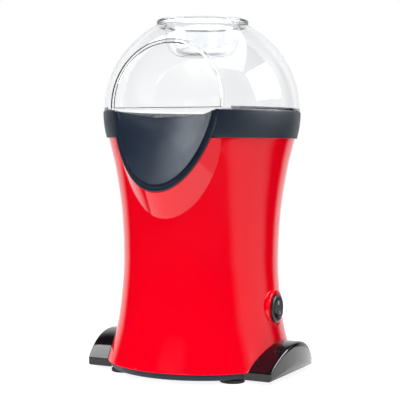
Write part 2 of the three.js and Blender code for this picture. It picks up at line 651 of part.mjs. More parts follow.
// A round wire along a curve.
function wire(path, r, steps, sides = 6) {
  const section = new THREE.Shape();
  for (let i = 0; i < sides; i += 1) {
    const angle = 2 * Math.PI * i / sides;
    section[i ? 'lineTo' : 'moveTo'](r * Math.cos(angle), r * Math.sin(angle));
  }
  section.closePath();
  return solid(new THREE.ExtrudeGeometry(section, { steps, extrudePath: path, bevelEnabled: false }));
}
add('heating_coil', wire(new Helix(CARD_HALF + 2.2, 81, 101, 3), 0.6, 42, 4), nichrome);

function impeller() {
  const plate = rod(IMPELLER_R, 62, 63.2, 28);
  let wheel = union(plate, rod(6, 51, 65));
  for (let i = 0; i < BLADES; i += 1) {
    const blade = blockGeometry(0, 30, -0.6, 0.6, 51.5, 62.5).rotateZ(rad(-28)).translate(5, 0, 0);
    wheel = wheel.add(solid(blade.rotateZ(rad(i * 360 / BLADES))));
  }
  return wheel.subtract(rod(SHAFT_R + 0.3, 50, 66, DRILL));
}
add('impeller', impeller(), whiteNylon);
add('motor_shaft', rod(SHAFT_R, 31, FAN_TOP, 14), steel);

function motorCan() {
  const top = FAN_FLOOR - GAP;
  let can = turned([
    [0, MOTOR_BOTTOM], [MOTOR_R, MOTOR_BOTTOM], [MOTOR_R, top - 1.35], [MOTOR_R - 1, top], [0, top],
  ], 24).subtract(rod(SHAFT_R + GAP, 30, 50, DRILL));
  for (const side of [0, 180]) can = can.subtract(post(1.6, MOTOR_SCREW_ORBIT, side, 41, 50, DRILL));
  return can;
}
add('motor_can', motorCan(), motorSteel);

const capTop = MOTOR_BOTTOM - GAP;
add('motor_end_cap', turned([
  [0, 11.8], [9, 11.8], [MOTOR_R - 1, 13], [MOTOR_R - 1, capTop], [0, capTop],
], 24), whiteNylon);
add('rectifier_board', rod(12.5, 9.8, 11.4, 24), boardGreen);
for (let i = 0; i < 4; i += 1) {
  const diode = add(`diode_${i + 1}`, rodX(1.3, -3, 3, 0, 12), blackSwitch);
  diode.position.set(i % 2 ? 5 : -5, i < 2 ? 4 : -4, 8);
}

// ---- thermostat and thermal fuse on the heat shield ---------------------------------------------

const HOT_Z = 118;
const THERMOSTAT_ANGLE = rad(110);
const FUSE_PLACE = [...polar(SHIELD_R + 3.2, 60), 0];
add('thermostat_bracket', block(SHIELD_R + GAP, SHIELD_R + 1.2, -11, 11, HOT_Z - 9, HOT_Z + 9), steel)
  .rotation.z = THERMOSTAT_ANGLE;
add('thermostat', union(
  rodX(7.5, SHIELD_R + 1.6, SHIELD_R + 6, HOT_Z, 28), rodX(5, SHIELD_R + 5.5, SHIELD_R + 9, HOT_Z, 20),
), blackSwitch).rotation.z = THERMOSTAT_ANGLE;
add('thermal_fuse', rod(2, HOT_Z - 6, HOT_Z + 6), whiteNylon).position.set(...FUSE_PLACE);
add('fuse_clip', tube(2 + GAP, 3, HOT_Z - 2, HOT_Z + 2, 16).subtract(block(2, 4, -1, 1, 0, 200)), steel)
  .position.set(...FUSE_PLACE);

// ---- switch -------------------------------------------------------------------------------------

const bezelBack = SWITCH_BOSS_X + GAP;
const bezelFront = bezelBack + 1.85;
const rockerRoom = ROCKER_R + 0.32;
add('switch_housing', union(
  rodX(BEZEL_R, bezelBack, bezelFront, SWITCH_Z, ROUND),
  rodX(BARREL_R, BARREL_BACK, bezelBack + 0.5, SWITCH_Z, ROUND),
).subtract(rodX(rockerRoom, BARREL_BACK + 2, 80, SWITCH_Z, ROUND)), blackSwitch);

function rocker() {
  const dish = rad(9.1);
  const upper = blockGeometry(0, 15, -12, 12, 0, 15).rotateY(dish).translate(3, 0, 0);
  const lower = blockGeometry(0, 15, -12, 12, -15, 0).rotateY(-dish).translate(3, 0, 0);
  return solid(new THREE.SphereGeometry(ROCKER_R, 20, 12))
    .subtract(solid(upper)).subtract(solid(lower)).subtract(block(-20, -3.5, -12, 12, -12, 12));
}
const rockerMesh = add('switch_rocker', rocker(), blackSwitch);
rockerMesh.position.set(ROCKER_PIVOT_X, 0, SWITCH_Z);
rockerMesh.rotation.y = ROCKER_REST;

const SPADE_Z = [SWITCH_Z - 4, SWITCH_Z + 4];
SPADE_Z.forEach((z, i) => {
  add(`switch_terminal_${i + 1}`, block(49.4, BARREL_BACK - GAP, -3.15, 3.15, z - 0.4, z + 0.4), brass);
});

// ---- cord gland and internal wires --------------------------------------------------------------

const flangeBack = GLAND_LAND_Y + GAP;
add('cord_gland', union(
  rodY(GLAND_R, 65, flangeBack + 1, GLAND_Z, 20), rodY(9, flangeBack, flangeBack + 2.2, GLAND_Z, 20),
).subtract(rodY(GLAND_BORE, 60, 85, GLAND_Z, 16)), rubber);

const through = (points) => new THREE.CatmullRomCurve3(points.map((p) => new THREE.Vector3(...p)));
const at = (r, angle, z) => [...polar(r, angle), z];
const lead = (...points) => wire(through(points), 1.1, 12, 8);
add('wire_live', lead(
  [1.6, 64, GLAND_Z], at(60, 76, 27), at(58, 55, 38), at(57, 34, 47), at(56, 14, 52), [52, 4.6, SPADE_Z[0]],
), blackSwitch);
add('wire_switched', lead(
  [52, 4.6, SPADE_Z[1]], at(57, 16, 66), at(57, 45, 88), at(57, 80, 108), at(60, 97, HOT_Z),
), red);
add('wire_neutral', lead(
  [-1.6, 64, GLAND_Z], at(60, 104, 30), at(57, 100, 60), at(54, 78, 90),
  at(SHIELD_R + 3.2, 60, HOT_Z - 7.6),
), whiteNylon);

export default root;
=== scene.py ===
import json
import math

import bmesh
import bpy
import numpy as np
from mathutils import Matrix, Vector
from mathutils.bvhtree import BVHTree
from mathutils.interpolate import poly_3d_calc
from mathutils.kdtree import KDTree


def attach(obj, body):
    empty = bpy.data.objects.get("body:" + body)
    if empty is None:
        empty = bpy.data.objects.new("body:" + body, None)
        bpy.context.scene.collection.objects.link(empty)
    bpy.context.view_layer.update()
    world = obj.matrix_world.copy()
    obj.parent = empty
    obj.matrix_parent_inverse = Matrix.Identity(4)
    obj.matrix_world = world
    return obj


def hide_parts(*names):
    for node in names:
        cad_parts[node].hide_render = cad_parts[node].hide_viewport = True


# A hot-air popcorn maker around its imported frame. Shapes are worked out in millimetres, in the row's
# frame (+Z up, the chute faces -Y, the switch is on +X), and become metres when a piece is placed.

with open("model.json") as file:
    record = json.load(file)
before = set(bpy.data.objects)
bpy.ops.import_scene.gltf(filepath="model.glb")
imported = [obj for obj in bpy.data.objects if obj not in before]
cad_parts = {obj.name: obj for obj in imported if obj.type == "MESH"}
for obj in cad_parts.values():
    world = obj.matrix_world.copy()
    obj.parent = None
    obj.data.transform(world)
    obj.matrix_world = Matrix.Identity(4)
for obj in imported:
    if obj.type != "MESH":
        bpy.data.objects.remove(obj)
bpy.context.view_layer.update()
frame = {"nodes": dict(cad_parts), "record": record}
MM = 0.001

# ---- driving dimensions, the same as the part's own ----

GAP = 0.35
SHELL_BOTTOM = 8.4
SHELL_WALL = 2.4
SHELL_PROFILE = [                 # radius, height of the hourglass outside
    (78.2, 8.4), (75.5, 15.7), (69.0, 40.9), (65.2, 74.4),
    (64.5, 99.5), (66.3, 132.9), (71.3, 166.3), (77.4, 192.3),
]
SHELL_TOP = 196
PAD_TOP = 3
PLATE_TOP = 5.4

COLLAR_BOTTOM = 192.6
COLLAR_TOP = 214.3
COLLAR_R_BOTTOM = 79.1
COLLAR_R_TOP = 82
COLLAR_RIM_R = 80
COLLAR_EDGE = 0.7
DECK_TOP = 206.5
DECK_BOTTOM = 204
DECK_HOLE_R = 44.8
SPIGOT_ROOM_R = 77.8
CORNER_ROOM = 44.8                # half width of the notch for the chute's back corners

SPOUT_HALF_WIDTH = 47.4
SPOUT_HALF_HEIGHT = 92.2
SPOUT_CENTRE_Z = 246
SPOUT_TOP = 213.5
CHUTE_WALL = 2.4
CHUTE_LIP_WALL = 1.1              # the chute's wall thins to this at its front edge
APRON_WALL = 2.2
CHUTE_BACK_Y = -48
CHUTE_BACK_Z = 207
CHUTE_CORNER_Y = -66
CHUTE_CORNER_Z = 212.5
CHUTE_OVERRUN = 0.12              # carries the chute past the collar, to be trimmed round
CHIN_DROP = 22.3
FRAME_LIP = 2.8
FRAME_INNER_R = 81.2

DOME_R = 81.4
DOME_WALL = 2
DOME_CENTRE_Z = 214
DOME_HOLE_R = 35.2
MOUTH_Y = -64.6
MOUTH_LEAN = math.radians(6.1)
MOUTH_BASE_Z = 215
SKIRT_OUTER_R = 79.6              # the dome's skirt stands inside the collar
SKIRT_INNER_R = 77.8
SKIRT_BOTTOM = 209
BEAD = 2.4                        # width and depth of the bead round the mouth

CUP_LIP_R = 38.2
CUP_RIM_R = 36.4
CUP_TOP = 290
CUP_BOTTOM = 260
CUP_BOWL_R = 30
CUP_BOWL_TOP = 273
CUP_FOOT_R = 16
CUP_WALL = 1.6

CHAMBER_R = 44
CHAMBER_WALL = 0.8
CHAMBER_BOTTOM = 112
CHAMBER_TOP = 205.4
CHAMBER_LIP_R = 46.8              # the lip that the clips hold
CHAMBER_LIP_Z = 203

SWITCH_Z = 54.7
SWITCH_LAND_X = 68.2
SWITCH_LAND_R = 14.8
BEZEL_R = 11.6
BARREL_R = 9.9
ROCKER_R = 8.3
ROCKER_PIVOT_X = 67.6
ROCKER_REST = math.radians(-8.5)
ROCKER_DISH = math.radians(9.1)   # the rocker's two faces lean back from its middle by this
ROCKER_FACE = 3                   # they meet this far in front of its pivot

GLAND_Z = 22
GLAND_R = 6.5
GLAND_LAND_R = 11
GLAND_LAND_Y = 75.4

FOOT_HALF_WIDTH = 45
FOOT_BOTTOM = 2.6
FOOT_EDGE_TOP = 9
FOOT_CREST = 28.4
FOOT_END_X = 87.5
FOOT_CORNER_X = 82.8
TONGUE_HALF_WIDTH = 14
FOOT_SCREW_X = 66

BASE_R = 74.5
PAD_ORBIT = 65.6
PAD_ANGLES = {"front_left": -139, "front_right": -41, "rear_right": 41, "rear_left": 139}
BOSS_ORBIT = 64
BOSS_ANGLES = [-90, 28, 152]
LEG_ORBIT = 50
LEG_ANGLES = [90, -30, 210]
LEG_TOP = 46.3
M3_HOLE = 1.45
CLIP_ORBIT = 54
CLIP_ANGLES = [15, 90, 165]

ROUND = 224                       # segments round a large turned piece
SPOUT_STEPS = 120                 # steps along the spout's outline
SPOUT_ROWS = 10                   # steps from its front edge to its back
SHARP = math.radians(32)          # edges sharper than this stay crisp

FAR = 90                          # half width of the blocks that only cut or keep

# ---- meshes ----


def mesh_object(name, points, faces):
    """A mesh piece in millimetres, with shared points joined and its faces turned outward."""
    mesh = bpy.data.meshes.new(name)
    mesh.from_pydata([tuple(float(c) for c in p) for p in points], [], faces)
    shape = bmesh.new()
    shape.from_mesh(mesh)
    bmesh.ops.remove_doubles(shape, verts=shape.verts, dist=2e-4)
    bmesh.ops.recalc_face_normals(shape, faces=shape.faces)
    return linked(name, mesh, shape)


def linked(name, mesh, shape):
    """An object in the scene from a mesh that takes over an edited shape."""
    shape.to_mesh(mesh)
    shape.free()
    piece = new_object(name, mesh)
    smooth(piece)
    return piece


def new_object(name, data):
    made = bpy.data.objects.new(name, data)
    bpy.context.scene.collection.objects.link(made)
    return made


def smooth(piece):
    mesh = piece.data
    mesh.polygons.foreach_set("use_smooth", np.ones(len(mesh.polygons), bool))
    mesh.set_sharp_from_angle(angle=SHARP)
    mesh.update()


def grid_faces(rows, columns, wrap_rows=False, wrap_columns=False, start=0):
    """Quads of a grid of points that are numbered row by row."""
    faces = []
    for i in range(rows if wrap_rows else rows - 1):
        for j in range(columns if wrap_columns else columns - 1):
            i1 = (i + 1) % rows
            j1 = (j + 1) % columns
            corner = [i * columns + j, i * columns + j1, i1 * columns + j1, i1 * columns + j]
            faces.append([start + c for c in corner])
    return faces


def turned(name, outline, segments=ROUND):
    """A solid of revolution about Z from a closed outline of (radius, height) points."""
    outline = np.array(outline, float)
    angles = np.linspace(0, 2 * math.pi, segments, endpoint=False)
    points = [(r * math.cos(a), r * math.sin(a), z) for a in angles for r, z in outline]
    return mesh_object(name, points, grid_faces(segments, len(outline), True, True))


def loft(name, sections):
    """A closed solid through a row of matching closed sections, capped at both ends."""
    sections = np.array(sections, float)
    rows, columns = sections.shape[:2]
    faces = grid_faces(rows, columns, False, True)
    last = (rows - 1) * columns
    faces.append(list(range(columns)))
    faces.append([last + j for j in range(columns)])
    return mesh_object(name, sections.reshape(-1, 3), faces)


def between(name, near, far):
    """A closed solid between two matching surfaces of u and v."""
    rows = SPOUT_STEPS + 1
    columns = SPOUT_ROWS + 1
    u, v = np.meshgrid(np.linspace(0, 1, rows), np.linspace(0, 1, columns), indexing="ij")
    points = np.concatenate([near(u, v).reshape(-1, 3), far(u, v).reshape(-1, 3)])
    count = rows * columns
    faces = grid_faces(rows, columns)
    faces += [list(reversed(f)) for f in grid_faces(rows, columns, start=count)]
    edge = [i * columns for i in range(rows)]
    edge += [SPOUT_STEPS * columns + j for j in range(1, columns)]
    edge += [i * columns + SPOUT_ROWS for i in reversed(range(SPOUT_STEPS))]
    edge += [j for j in reversed(range(1, SPOUT_ROWS))]
    for a, b in zip(edge, edge[1:] + edge[:1]):
        faces.append([a, b, count + b, count + a])
    return mesh_object(name, points, faces)


def block(name, x0, x1, y0, y1, z0, z1, edge=0.0, steps=2):
    """A block with its edges rounded by a radius."""
    shape = bmesh.new()
    bmesh.ops.create_cube(shape, size=1)
    size = Vector((x1 - x0, y1 - y0, z1 - z0))
    bmesh.ops.scale(shape, vec=size, verts=shape.verts)
    bmesh.ops.translate(shape, vec=Vector((x0 + x1, y0 + y1, z0 + z1)) / 2, verts=shape.verts)
    if edge:
        bmesh.ops.bevel(shape, geom=shape.edges[:], offset=edge, segments=steps, affect="EDGES", profile=0.5)
    return linked(name, bpy.data.meshes.new(name), shape)


def rounded(corners, steps=4):
    """A closed outline whose corners (x, y, radius) are rounded by arcs of that radius."""
    points = []
    count = len(corners)
    for i, (x, y, radius) in enumerate(corners):
        here = np.array([x, y], float)
        before = np.array(corners[i - 1][:2], float) - here
        after = np.array(corners[(i + 1) % count][:2], float) - here
        if radius <= 0:
            points.append(here)
            continue
        before_length = np.linalg.norm(before)
        after_length = np.linalg.norm(after)
        before /= before_length
        after /= after_length
        half = math.acos(np.clip(before @ after, -1, 1)) / 2
        reach = min(radius / math.tan(half), 0.49 * before_length, 0.49 * after_length)
        radius = reach * math.tan(half)
        middle = before + after
        centre = here + middle / np.linalg.norm(middle) * radius / math.sin(half)
        first = here + before * reach - centre
        last = here + after * reach - centre
        turn = math.pi - 2 * half
        for k in range(steps + 1):
            t = k / steps
            mix = (math.sin((1 - t) * turn) * first + math.sin(t * turn) * last) / math.sin(turn)
            points.append(centre + mix)
    return points


def placed(piece, matrix):
    piece.data.transform(matrix)
    return piece


def along_x(piece, z):
    """Turns a piece made about Z so that its axis lies along X at a height."""
    return placed(piece, Matrix.Translation((0, 0, z)) @ Matrix.Rotation(math.pi / 2, 4, "Y"))


def along_y(piece, z):
    return placed(piece, Matrix.Translation((0, 0, z)) @ Matrix.Rotation(-math.pi / 2, 4, "X"))


def moved_to(piece, radius, angle, z=0):
    """Shifts a piece to an orbit and angle about the row's axis, and turns it to face out."""
    turn = Matrix.Rotation(math.radians(angle), 4, "Z")
    return placed(piece, turn @ Matrix.Translation((radius, 0, z)))


def rod(name, r, z0, z1, segments, edge=0.0):
    return turned(name, rounded([(0, z0, 0), (r, z0, edge), (r, z1, edge), (0, z1, 0)]), segments)


def tube(name, inner, outer, z0, z1, segments):
    return turned(name, [(inner, z0), (outer, z0), (outer, z1), (inner, z1)], segments)


def posts(name, r, z0, z1, orbit, angles, segments=24, edge=0.0):
    """Equal rods at a row of angles round the row's axis."""
    return [moved_to(rod(name, r, z0, z1, segments, edge), orbit, angle) for angle in angles]


# ---- joining and cutting, with the clean normals of the shapes that went in ----


class Shading:
    """The shading normals of a solid that goes into a join or cut."""

    def __init__(self, piece, sign):
        mesh = piece.data
        mesh.calc_loop_triangles()
        normals = np.zeros(len(mesh.loops) * 3, np.float32)
        mesh.corner_normals.foreach_get("vector", normals)
        self.normals = normals.reshape(-1, 3) * sign
        self.sign = sign
        self.points = [v.co.copy() for v in mesh.vertices]
        self.triangles = [tuple(t.vertices) for t in mesh.loop_triangles]
        self.loops = [tuple(t.loops) for t in mesh.loop_triangles]
        self.tree = BVHTree.FromPolygons(self.points, self.triangles)
        self.grafted = set(piece.get("grafted", []))

    def clean_points(self):
        return [p for i, p in enumerate(self.points) if i not in self.grafted]

    def match(self, spot, facing, reach):
        """How well the nearest face agrees with a direction, and its normal there."""
        best = None
        for place, flat, index, _ in self.tree.find_nearest_range(spot, reach):
            agreement = self.sign * flat.dot(facing)
            if agreement > 0.9 and (best is None or agreement > best[0]):
                best = (agreement, place, index)
        if best is None:
            return None
        agreement, place, index = best
        weights = poly_3d_calc([self.points[v] for v in self.triangles[index]], place)
        normal = sum((Vector(self.normals[k]) * w for k, w in zip(self.loops[index], weights)), Vector())
        return agreement, normal.normalized()


def graft_normals(piece, sources, reach=0.03):
    """Corners beside a new edge take the shading normal of the shape that their face was cut from."""
    mesh = piece.data
    clean = [p for source in sources for p in source.clean_points()]
    known = KDTree(len(clean))
    for i, point in enumerate(clean):
        known.insert(point, i)
    known.balance()
    new = {v.index for v in mesh.vertices if known.find(v.co)[2] > 0.002}
    touched = set()
    for polygon in mesh.polygons:
        if any(v in new for v in polygon.vertices):
            touched.update(polygon.vertices)
    normals = [Vector()] * len(mesh.loops)
    for polygon in mesh.polygons:
        for k in polygon.loop_indices:
            vertex = mesh.loops[k].vertex_index
            if vertex not in touched:
                continue
            spot = mesh.vertices[vertex].co.lerp(polygon.center, 0.02)
            found = [source.match(spot, polygon.normal, reach) for source in sources]
            found = [f for f in found if f is not None]
            normals[k] = max(found, key=lambda f: f[0])[1] if found else polygon.normal.copy()
    mesh.normals_split_custom_set(normals)
    piece["grafted"] = sorted(touched)


def combine(piece, *steps):
    """Joins, cuts or keeps what other solids share with a piece. Each step is (operation, solid)."""
    sources = [Shading(piece, 1)]
    for operation, tool in steps:
        modifier = piece.modifiers.new("solid", "BOOLEAN")
        modifier.operation = operation
        modifier.solver = "MANIFOLD"
        modifier.object = tool
        sources.append(Shading(tool, -1 if operation == "DIFFERENCE" else 1))
    bpy.context.view_layer.update()
    evaluated = piece.evaluated_get(bpy.context.evaluated_depsgraph_get())
    mesh = bpy.data.meshes.new_from_object(evaluated)
    piece.modifiers.clear()
    piece.data = mesh
    if not len(mesh.polygons):
        raise RuntimeError(f"{piece.name}: a join or cut left nothing")
    shape = bmesh.new()
    shape.from_mesh(mesh)
    bmesh.ops.dissolve_degenerate(shape, dist=1e-4, edges=shape.edges)
    shape.to_mesh(mesh)
    shape.free()
    smooth(piece)
    graft_normals(piece, sources)
    for _, tool in steps:
        if tool.name in bpy.data.objects:
            bpy.data.objects.remove(tool)
    return piece


def join(piece, *others):
    return combine(piece, *(("UNION", other) for other in others))


def cut(piece, *tools):
    return combine(piece, *(("DIFFERENCE", tool) for tool in tools))


def common(piece, *others):
    return combine(piece, *(("INTERSECT", other) for other in others))


def show(piece, name, body, slot, *nodes, finish=None):
    """Turns a piece from millimetres to metres, gives it its body and its slot's finish, and hides the
    imported nodes that it takes the place of.
    """
    if "grafted" in piece:
        del piece["grafted"]
    piece.name = name
    piece.data.name = name
    piece.data.transform(Matrix.Scale(MM, 4))
    piece.data.materials.clear()
    piece.data.materials.append(finish or FINISHES[slot])
    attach(piece, body)
    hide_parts(*nodes)
    return piece


# ---- body and spout surfaces ----


def spline(points, steps):
    """A smooth curve through points: a uniform Catmull-Rom spline with doubled ends."""
    points = np.array(points, float)
    padded = np.vstack([points[0], points, points[-1]])
    found = []
    for i in range(len(points) - 1):
        p0, p1, p2, p3 = padded[i:i + 4]
        for t in np.linspace(0, 1, steps, endpoint=False):
            v0 = (p2 - p0) / 2
            v1 = (p3 - p1) / 2
            cubic = (2 * p1 - 2 * p2 + v0 + v1) * t ** 3
            found.append(cubic + (-3 * p1 + 3 * p2 - 2 * v0 - v1) * t ** 2 + v0 * t + p1)
    return np.vstack([found, points[-1]])


shell_curve = spline(SHELL_PROFILE, 9)


def body_radius(z):
    return np.interp(z, shell_curve[:, 1], shell_curve[:, 0])


def body_solid(name, inset, z0, z1):
    """The hourglass body made smaller by an inset, from one height to another."""
    heights = [z0, *[z for z in shell_curve[:, 1] if z0 + 0.5 < z < z1 - 0.5], z1]
    outline = [(body_radius(z) - inset, z) for z in heights]
    return turned(name, [(0, z0), *outline, (0, z1)])


SPOUT_START = math.asin((SPOUT_CENTRE_Z - SPOUT_TOP) / SPOUT_HALF_HEIGHT)


def spout_edge(u, grow=0.0):
    """The spout's outline: an ellipse seen from the front, on a cylinder of the collar's radius."""
    angle = SPOUT_START + u * (math.pi - 2 * SPOUT_START)
    x = -(SPOUT_HALF_WIDTH + grow) * np.cos(angle)
    z = SPOUT_CENTRE_Z - (SPOUT_HALF_HEIGHT + grow) * np.sin(angle)
    return np.stack([x, -np.sqrt(COLLAR_R_TOP ** 2 - x * x), z], axis=-1)


CHUTE_CORNER_X = float(spout_edge(np.array(1.0))[0])


def mixed(front, back, v):
    """Points a share v of the way from the front to the back."""
    return front + (back - front) * np.asarray(v)[..., None]


def chute_surface(u, v):
    """The chute's underside: straight lines from the outline back to a dip at the chamber's mouth."""
    front = spout_edge(u)
    across = (front[..., 0] / CHUTE_CORNER_X) ** 2
    y = CHUTE_BACK_Y + (CHUTE_CORNER_Y - CHUTE_BACK_Y) * across
    z = CHUTE_BACK_Z + (CHUTE_CORNER_Z - CHUTE_BACK_Z) * across
    return mixed(front, np.stack([front[..., 0], y, z], axis=-1), v)


def skirt_surface(u, v):
    """From the frame's front edge down and back to the body, where the chin ends."""
    front = spout_edge(u, FRAME_LIP)
    z = front[..., 2] - CHIN_DROP
    radius = body_radius(z)
    x = front[..., 0] * 1.01
    return mixed(front, np.stack([x, -np.sqrt(radius ** 2 - x * x), z], axis=-1), v)


def stretched(surface, start, end):
    """The same surface with v running from start to end."""
    return lambda u, v: surface(u, start + v * (end - start))


def moved(surface, distance):
    """The surface moved along its own normal, up and inward for a positive distance."""
    step = 1e-3

    def shifted(u, v):
        u0 = np.minimum(u, 1 - step)
        v0 = np.minimum(v, 1 - step)
        along = surface(u0 + step, v0) - surface(u0, v0)
        across = surface(u0, v0 + step) - surface(u0, v0)
        normal = np.cross(along, across)
        normal /= np.linalg.norm(normal, axis=-1, keepdims=True)
        normal *= np.where(normal[..., 2:] < 0, -1, 1)
        return surface(u, v) + normal * distance

    return shifted


def above(name, surface):
    """Everything straight above a surface, up to a height over the spout."""

    def lid(u, v):
        points = surface(u, v).copy()
        points[..., 2] = 230
        return points

    return between(name, surface, lid)


chute_wide = stretched(chute_surface, -CHUTE_OVERRUN, 1)
skirt_wide = stretched(skirt_surface, -0.3, 1.3)


def hood():
    return above("hood", skirt_wide)


def chute_space():
    return above("chute_space", moved(chute_wide, -GAP))


# ---- pieces: casing ----


def land_outline(radius, back, front, edge):
    """Outline of a round land that stands out of the casing, with a soft front edge."""
    return rounded([(0, back, 0), (radius, back, 0), (radius, front, edge), (0, front, 0)])


def outer_shell():
    """The red hourglass casing with the chin under the chute."""
    outside = [(r, z, 0) for r, z in shell_curve[1:]]
    inside = [(r - SHELL_WALL, z, 0) for r, z in shell_curve[1:]]
    top_r = SHELL_PROFILE[-1][0]
    top = [(top_r, SHELL_TOP, 0.8), (top_r - SHELL_WALL, SHELL_TOP, 0.4)]
    bottom_r = SHELL_PROFILE[0][0]
    bottom = [(bottom_r - SHELL_WALL, SHELL_BOTTOM, 0.4), (bottom_r, SHELL_BOTTOM, 1.1)]
    shell = turned("outer_shell", rounded([*bottom, *outside, *top, *reversed(inside)]))
    chin = common(hood(), rod("chin_limit", FRAME_INNER_R - GAP, 120, COLLAR_BOTTOM - GAP, ROUND))
    land = land_outline(SWITCH_LAND_R, 55, SWITCH_LAND_X, 0.7)
    over = [(0, SWITCH_LAND_X), (SWITCH_LAND_R, SWITCH_LAND_X), (SWITCH_LAND_R + 2.4, 80), (0, 80)]
    gland = land_outline(GLAND_LAND_R, 60, GLAND_LAND_Y, 0.6)
    shell = join(
        shell, chin,
        along_x(turned("land", land, 96), z=SWITCH_Z),
        along_y(turned("gland_land", gland, 72), z=GLAND_Z),
    )
    shell = cut(
        shell,
        along_x(turned("over_land", over, 96), z=SWITCH_Z),
        along_y(rod("over_gland", GLAND_LAND_R, GLAND_LAND_Y, 90, 72), z=GLAND_Z),
        body_solid("hollow", SHELL_WALL, SHELL_BOTTOM + 1.5, SHELL_TOP - 1.5),
        above("hood_inside", moved(skirt_wide, SHELL_WALL)),
        apron_room(),
        along_x(rod("switch_hole", BARREL_R + GAP, 55, 80, 64), z=SWITCH_Z),
        along_y(rod("gland_hole", GLAND_R + GAP, 60, 85, 48), z=GLAND_Z),
    )
    return shell


def apron_room():
    """The room in the casing for the apron under the chute."""
    return between("apron_room", moved(chute_wide, 0), moved(chute_wide, -2 * GAP - APRON_WALL))


def collar_point(share):
    """Outside of the collar at a share of its height: it swells and is upright near its top."""
    radius = COLLAR_R_BOTTOM + (COLLAR_R_TOP - COLLAR_R_BOTTOM) * (1 - (1 - share) ** 2)
    return radius, COLLAR_BOTTOM + (COLLAR_TOP - COLLAR_EDGE - COLLAR_BOTTOM) * share, 0


def top_ring():
    """The dark collar with the deck under the dome, the spout's frame and the apron under the chute."""
    collar = turned("top_ring", rounded([
        (SPIGOT_ROOM_R, COLLAR_BOTTOM, 0.2), (COLLAR_R_BOTTOM, COLLAR_BOTTOM, 0.5),
        *[collar_point(share) for share in np.linspace(0, 1, 13)[1:]],
        (COLLAR_R_TOP - 0.1, COLLAR_TOP, 0.6), (COLLAR_RIM_R, COLLAR_TOP, 0.25),
        (COLLAR_RIM_R, DECK_TOP, 0.8), (DECK_HOLE_R, DECK_TOP, 0.6),
        (DECK_HOLE_R, DECK_BOTTOM, 0.2), (SPIGOT_ROOM_R, DECK_BOTTOM, 0.3),
    ]))
    frame_band = common(hood(), tube("frame_limit", FRAME_INNER_R, COLLAR_R_TOP, 150, SPOUT_TOP, ROUND))
    apron = common(
        between("apron", moved(chute_wide, -GAP), moved(chute_wide, -GAP - APRON_WALL)),
        hood(),
        rod("apron_limit", COLLAR_R_TOP, 150, SPOUT_TOP, ROUND),
    )
    ring = join(collar, frame_band)
    front = CHUTE_CORNER_Y - 2
    back = CHUTE_CORNER_Y + 1.5
    corners = block("corner_room", -CORNER_ROOM, CORNER_ROOM, front, back, 211, COLLAR_TOP + 1)
    ring = cut(ring, chute_space(), corners)
    bosses = posts("boss", 3.5, 202.4, 205, CLIP_ORBIT, CLIP_ANGLES, 32)
    holes = posts("hole", M3_HOLE, 202, 205.9, CLIP_ORBIT, CLIP_ANGLES)
    return cut(join(ring, apron, *bosses), *holes)


def softened(before, corner, after, radius, steps):
    """Points of a soft corner in space, between the neighbours of the corner, for rows of corners."""
    start = before - corner
    end = after - corner
    start = corner + start * (radius / np.linalg.norm(start, axis=-1, keepdims=True))
    end = corner + end * (radius / np.linalg.norm(end, axis=-1, keepdims=True))
    found = []
    for t in np.linspace(0, 1, steps + 1):
        found.append(start * (1 - t) ** 2 + corner * (2 * t * (1 - t)) + end * t ** 2)
    return found


def reach_radius(surface, u, radius):
    """The v of each u at which a surface crosses a cylinder about the axis."""
    low = np.full_like(u, -0.6)
    high = np.full_like(u, 0.98)
    for _ in range(40):
        middle = (low + high) / 2
        far = np.hypot(*np.moveaxis(surface(u, middle)[..., :2], -1, 0)) > radius
        low = np.where(far, middle, low)
        high = np.where(far, high, middle)
    return (low + high) / 2


def chute():
    """The dark scoop that lifts out with the dome. Its wall thins to a soft lip round its front edge."""
    rim_r = COLLAR_R_TOP - 0.1
    u = np.linspace(-0.02, 1.02, SPOUT_STEPS + 9)
    under = moved(chute_surface, 0)
    inner = moved(chute_surface, CHUTE_WALL)
    lip = moved(chute_surface, CHUTE_LIP_WALL)
    thins_over = 0.4
    v_under = reach_radius(under, u, rim_r)
    v_lip = reach_radius(lip, u, rim_r)
    a = under(u, v_under)
    b = lip(u, v_lip)
    steps = np.linspace(0, 1, 15)[1:]
    top = []
    for t in steps:
        v = v_lip + (1 - v_lip) * t
        top.append(mixed(lip(u, v), inner(u, v), np.full(len(u), min(1, t / thins_over))))
    bottom = [under(u, v_under + (1 - v_under) * t) for t in steps]
    loop = [*softened(bottom[2], a, b, 0.3, 3), *softened(a, b, top[3], 0.4, 5), *top, *reversed(bottom)]
    tray = loft("chute", np.stack(loop, axis=1))
    return common(tray, block("tray_limit", -FAR, FAR, -FAR, 0, 150, SPOUT_TOP))


def arc(r, start, end, steps):
    """Points of an arc about the dome's centre, by angle above the horizontal."""
    angles = np.linspace(start, end, steps + 1)
    return [(r * math.cos(a), DOME_CENTRE_Z + r * math.sin(a), 0) for a in angles]


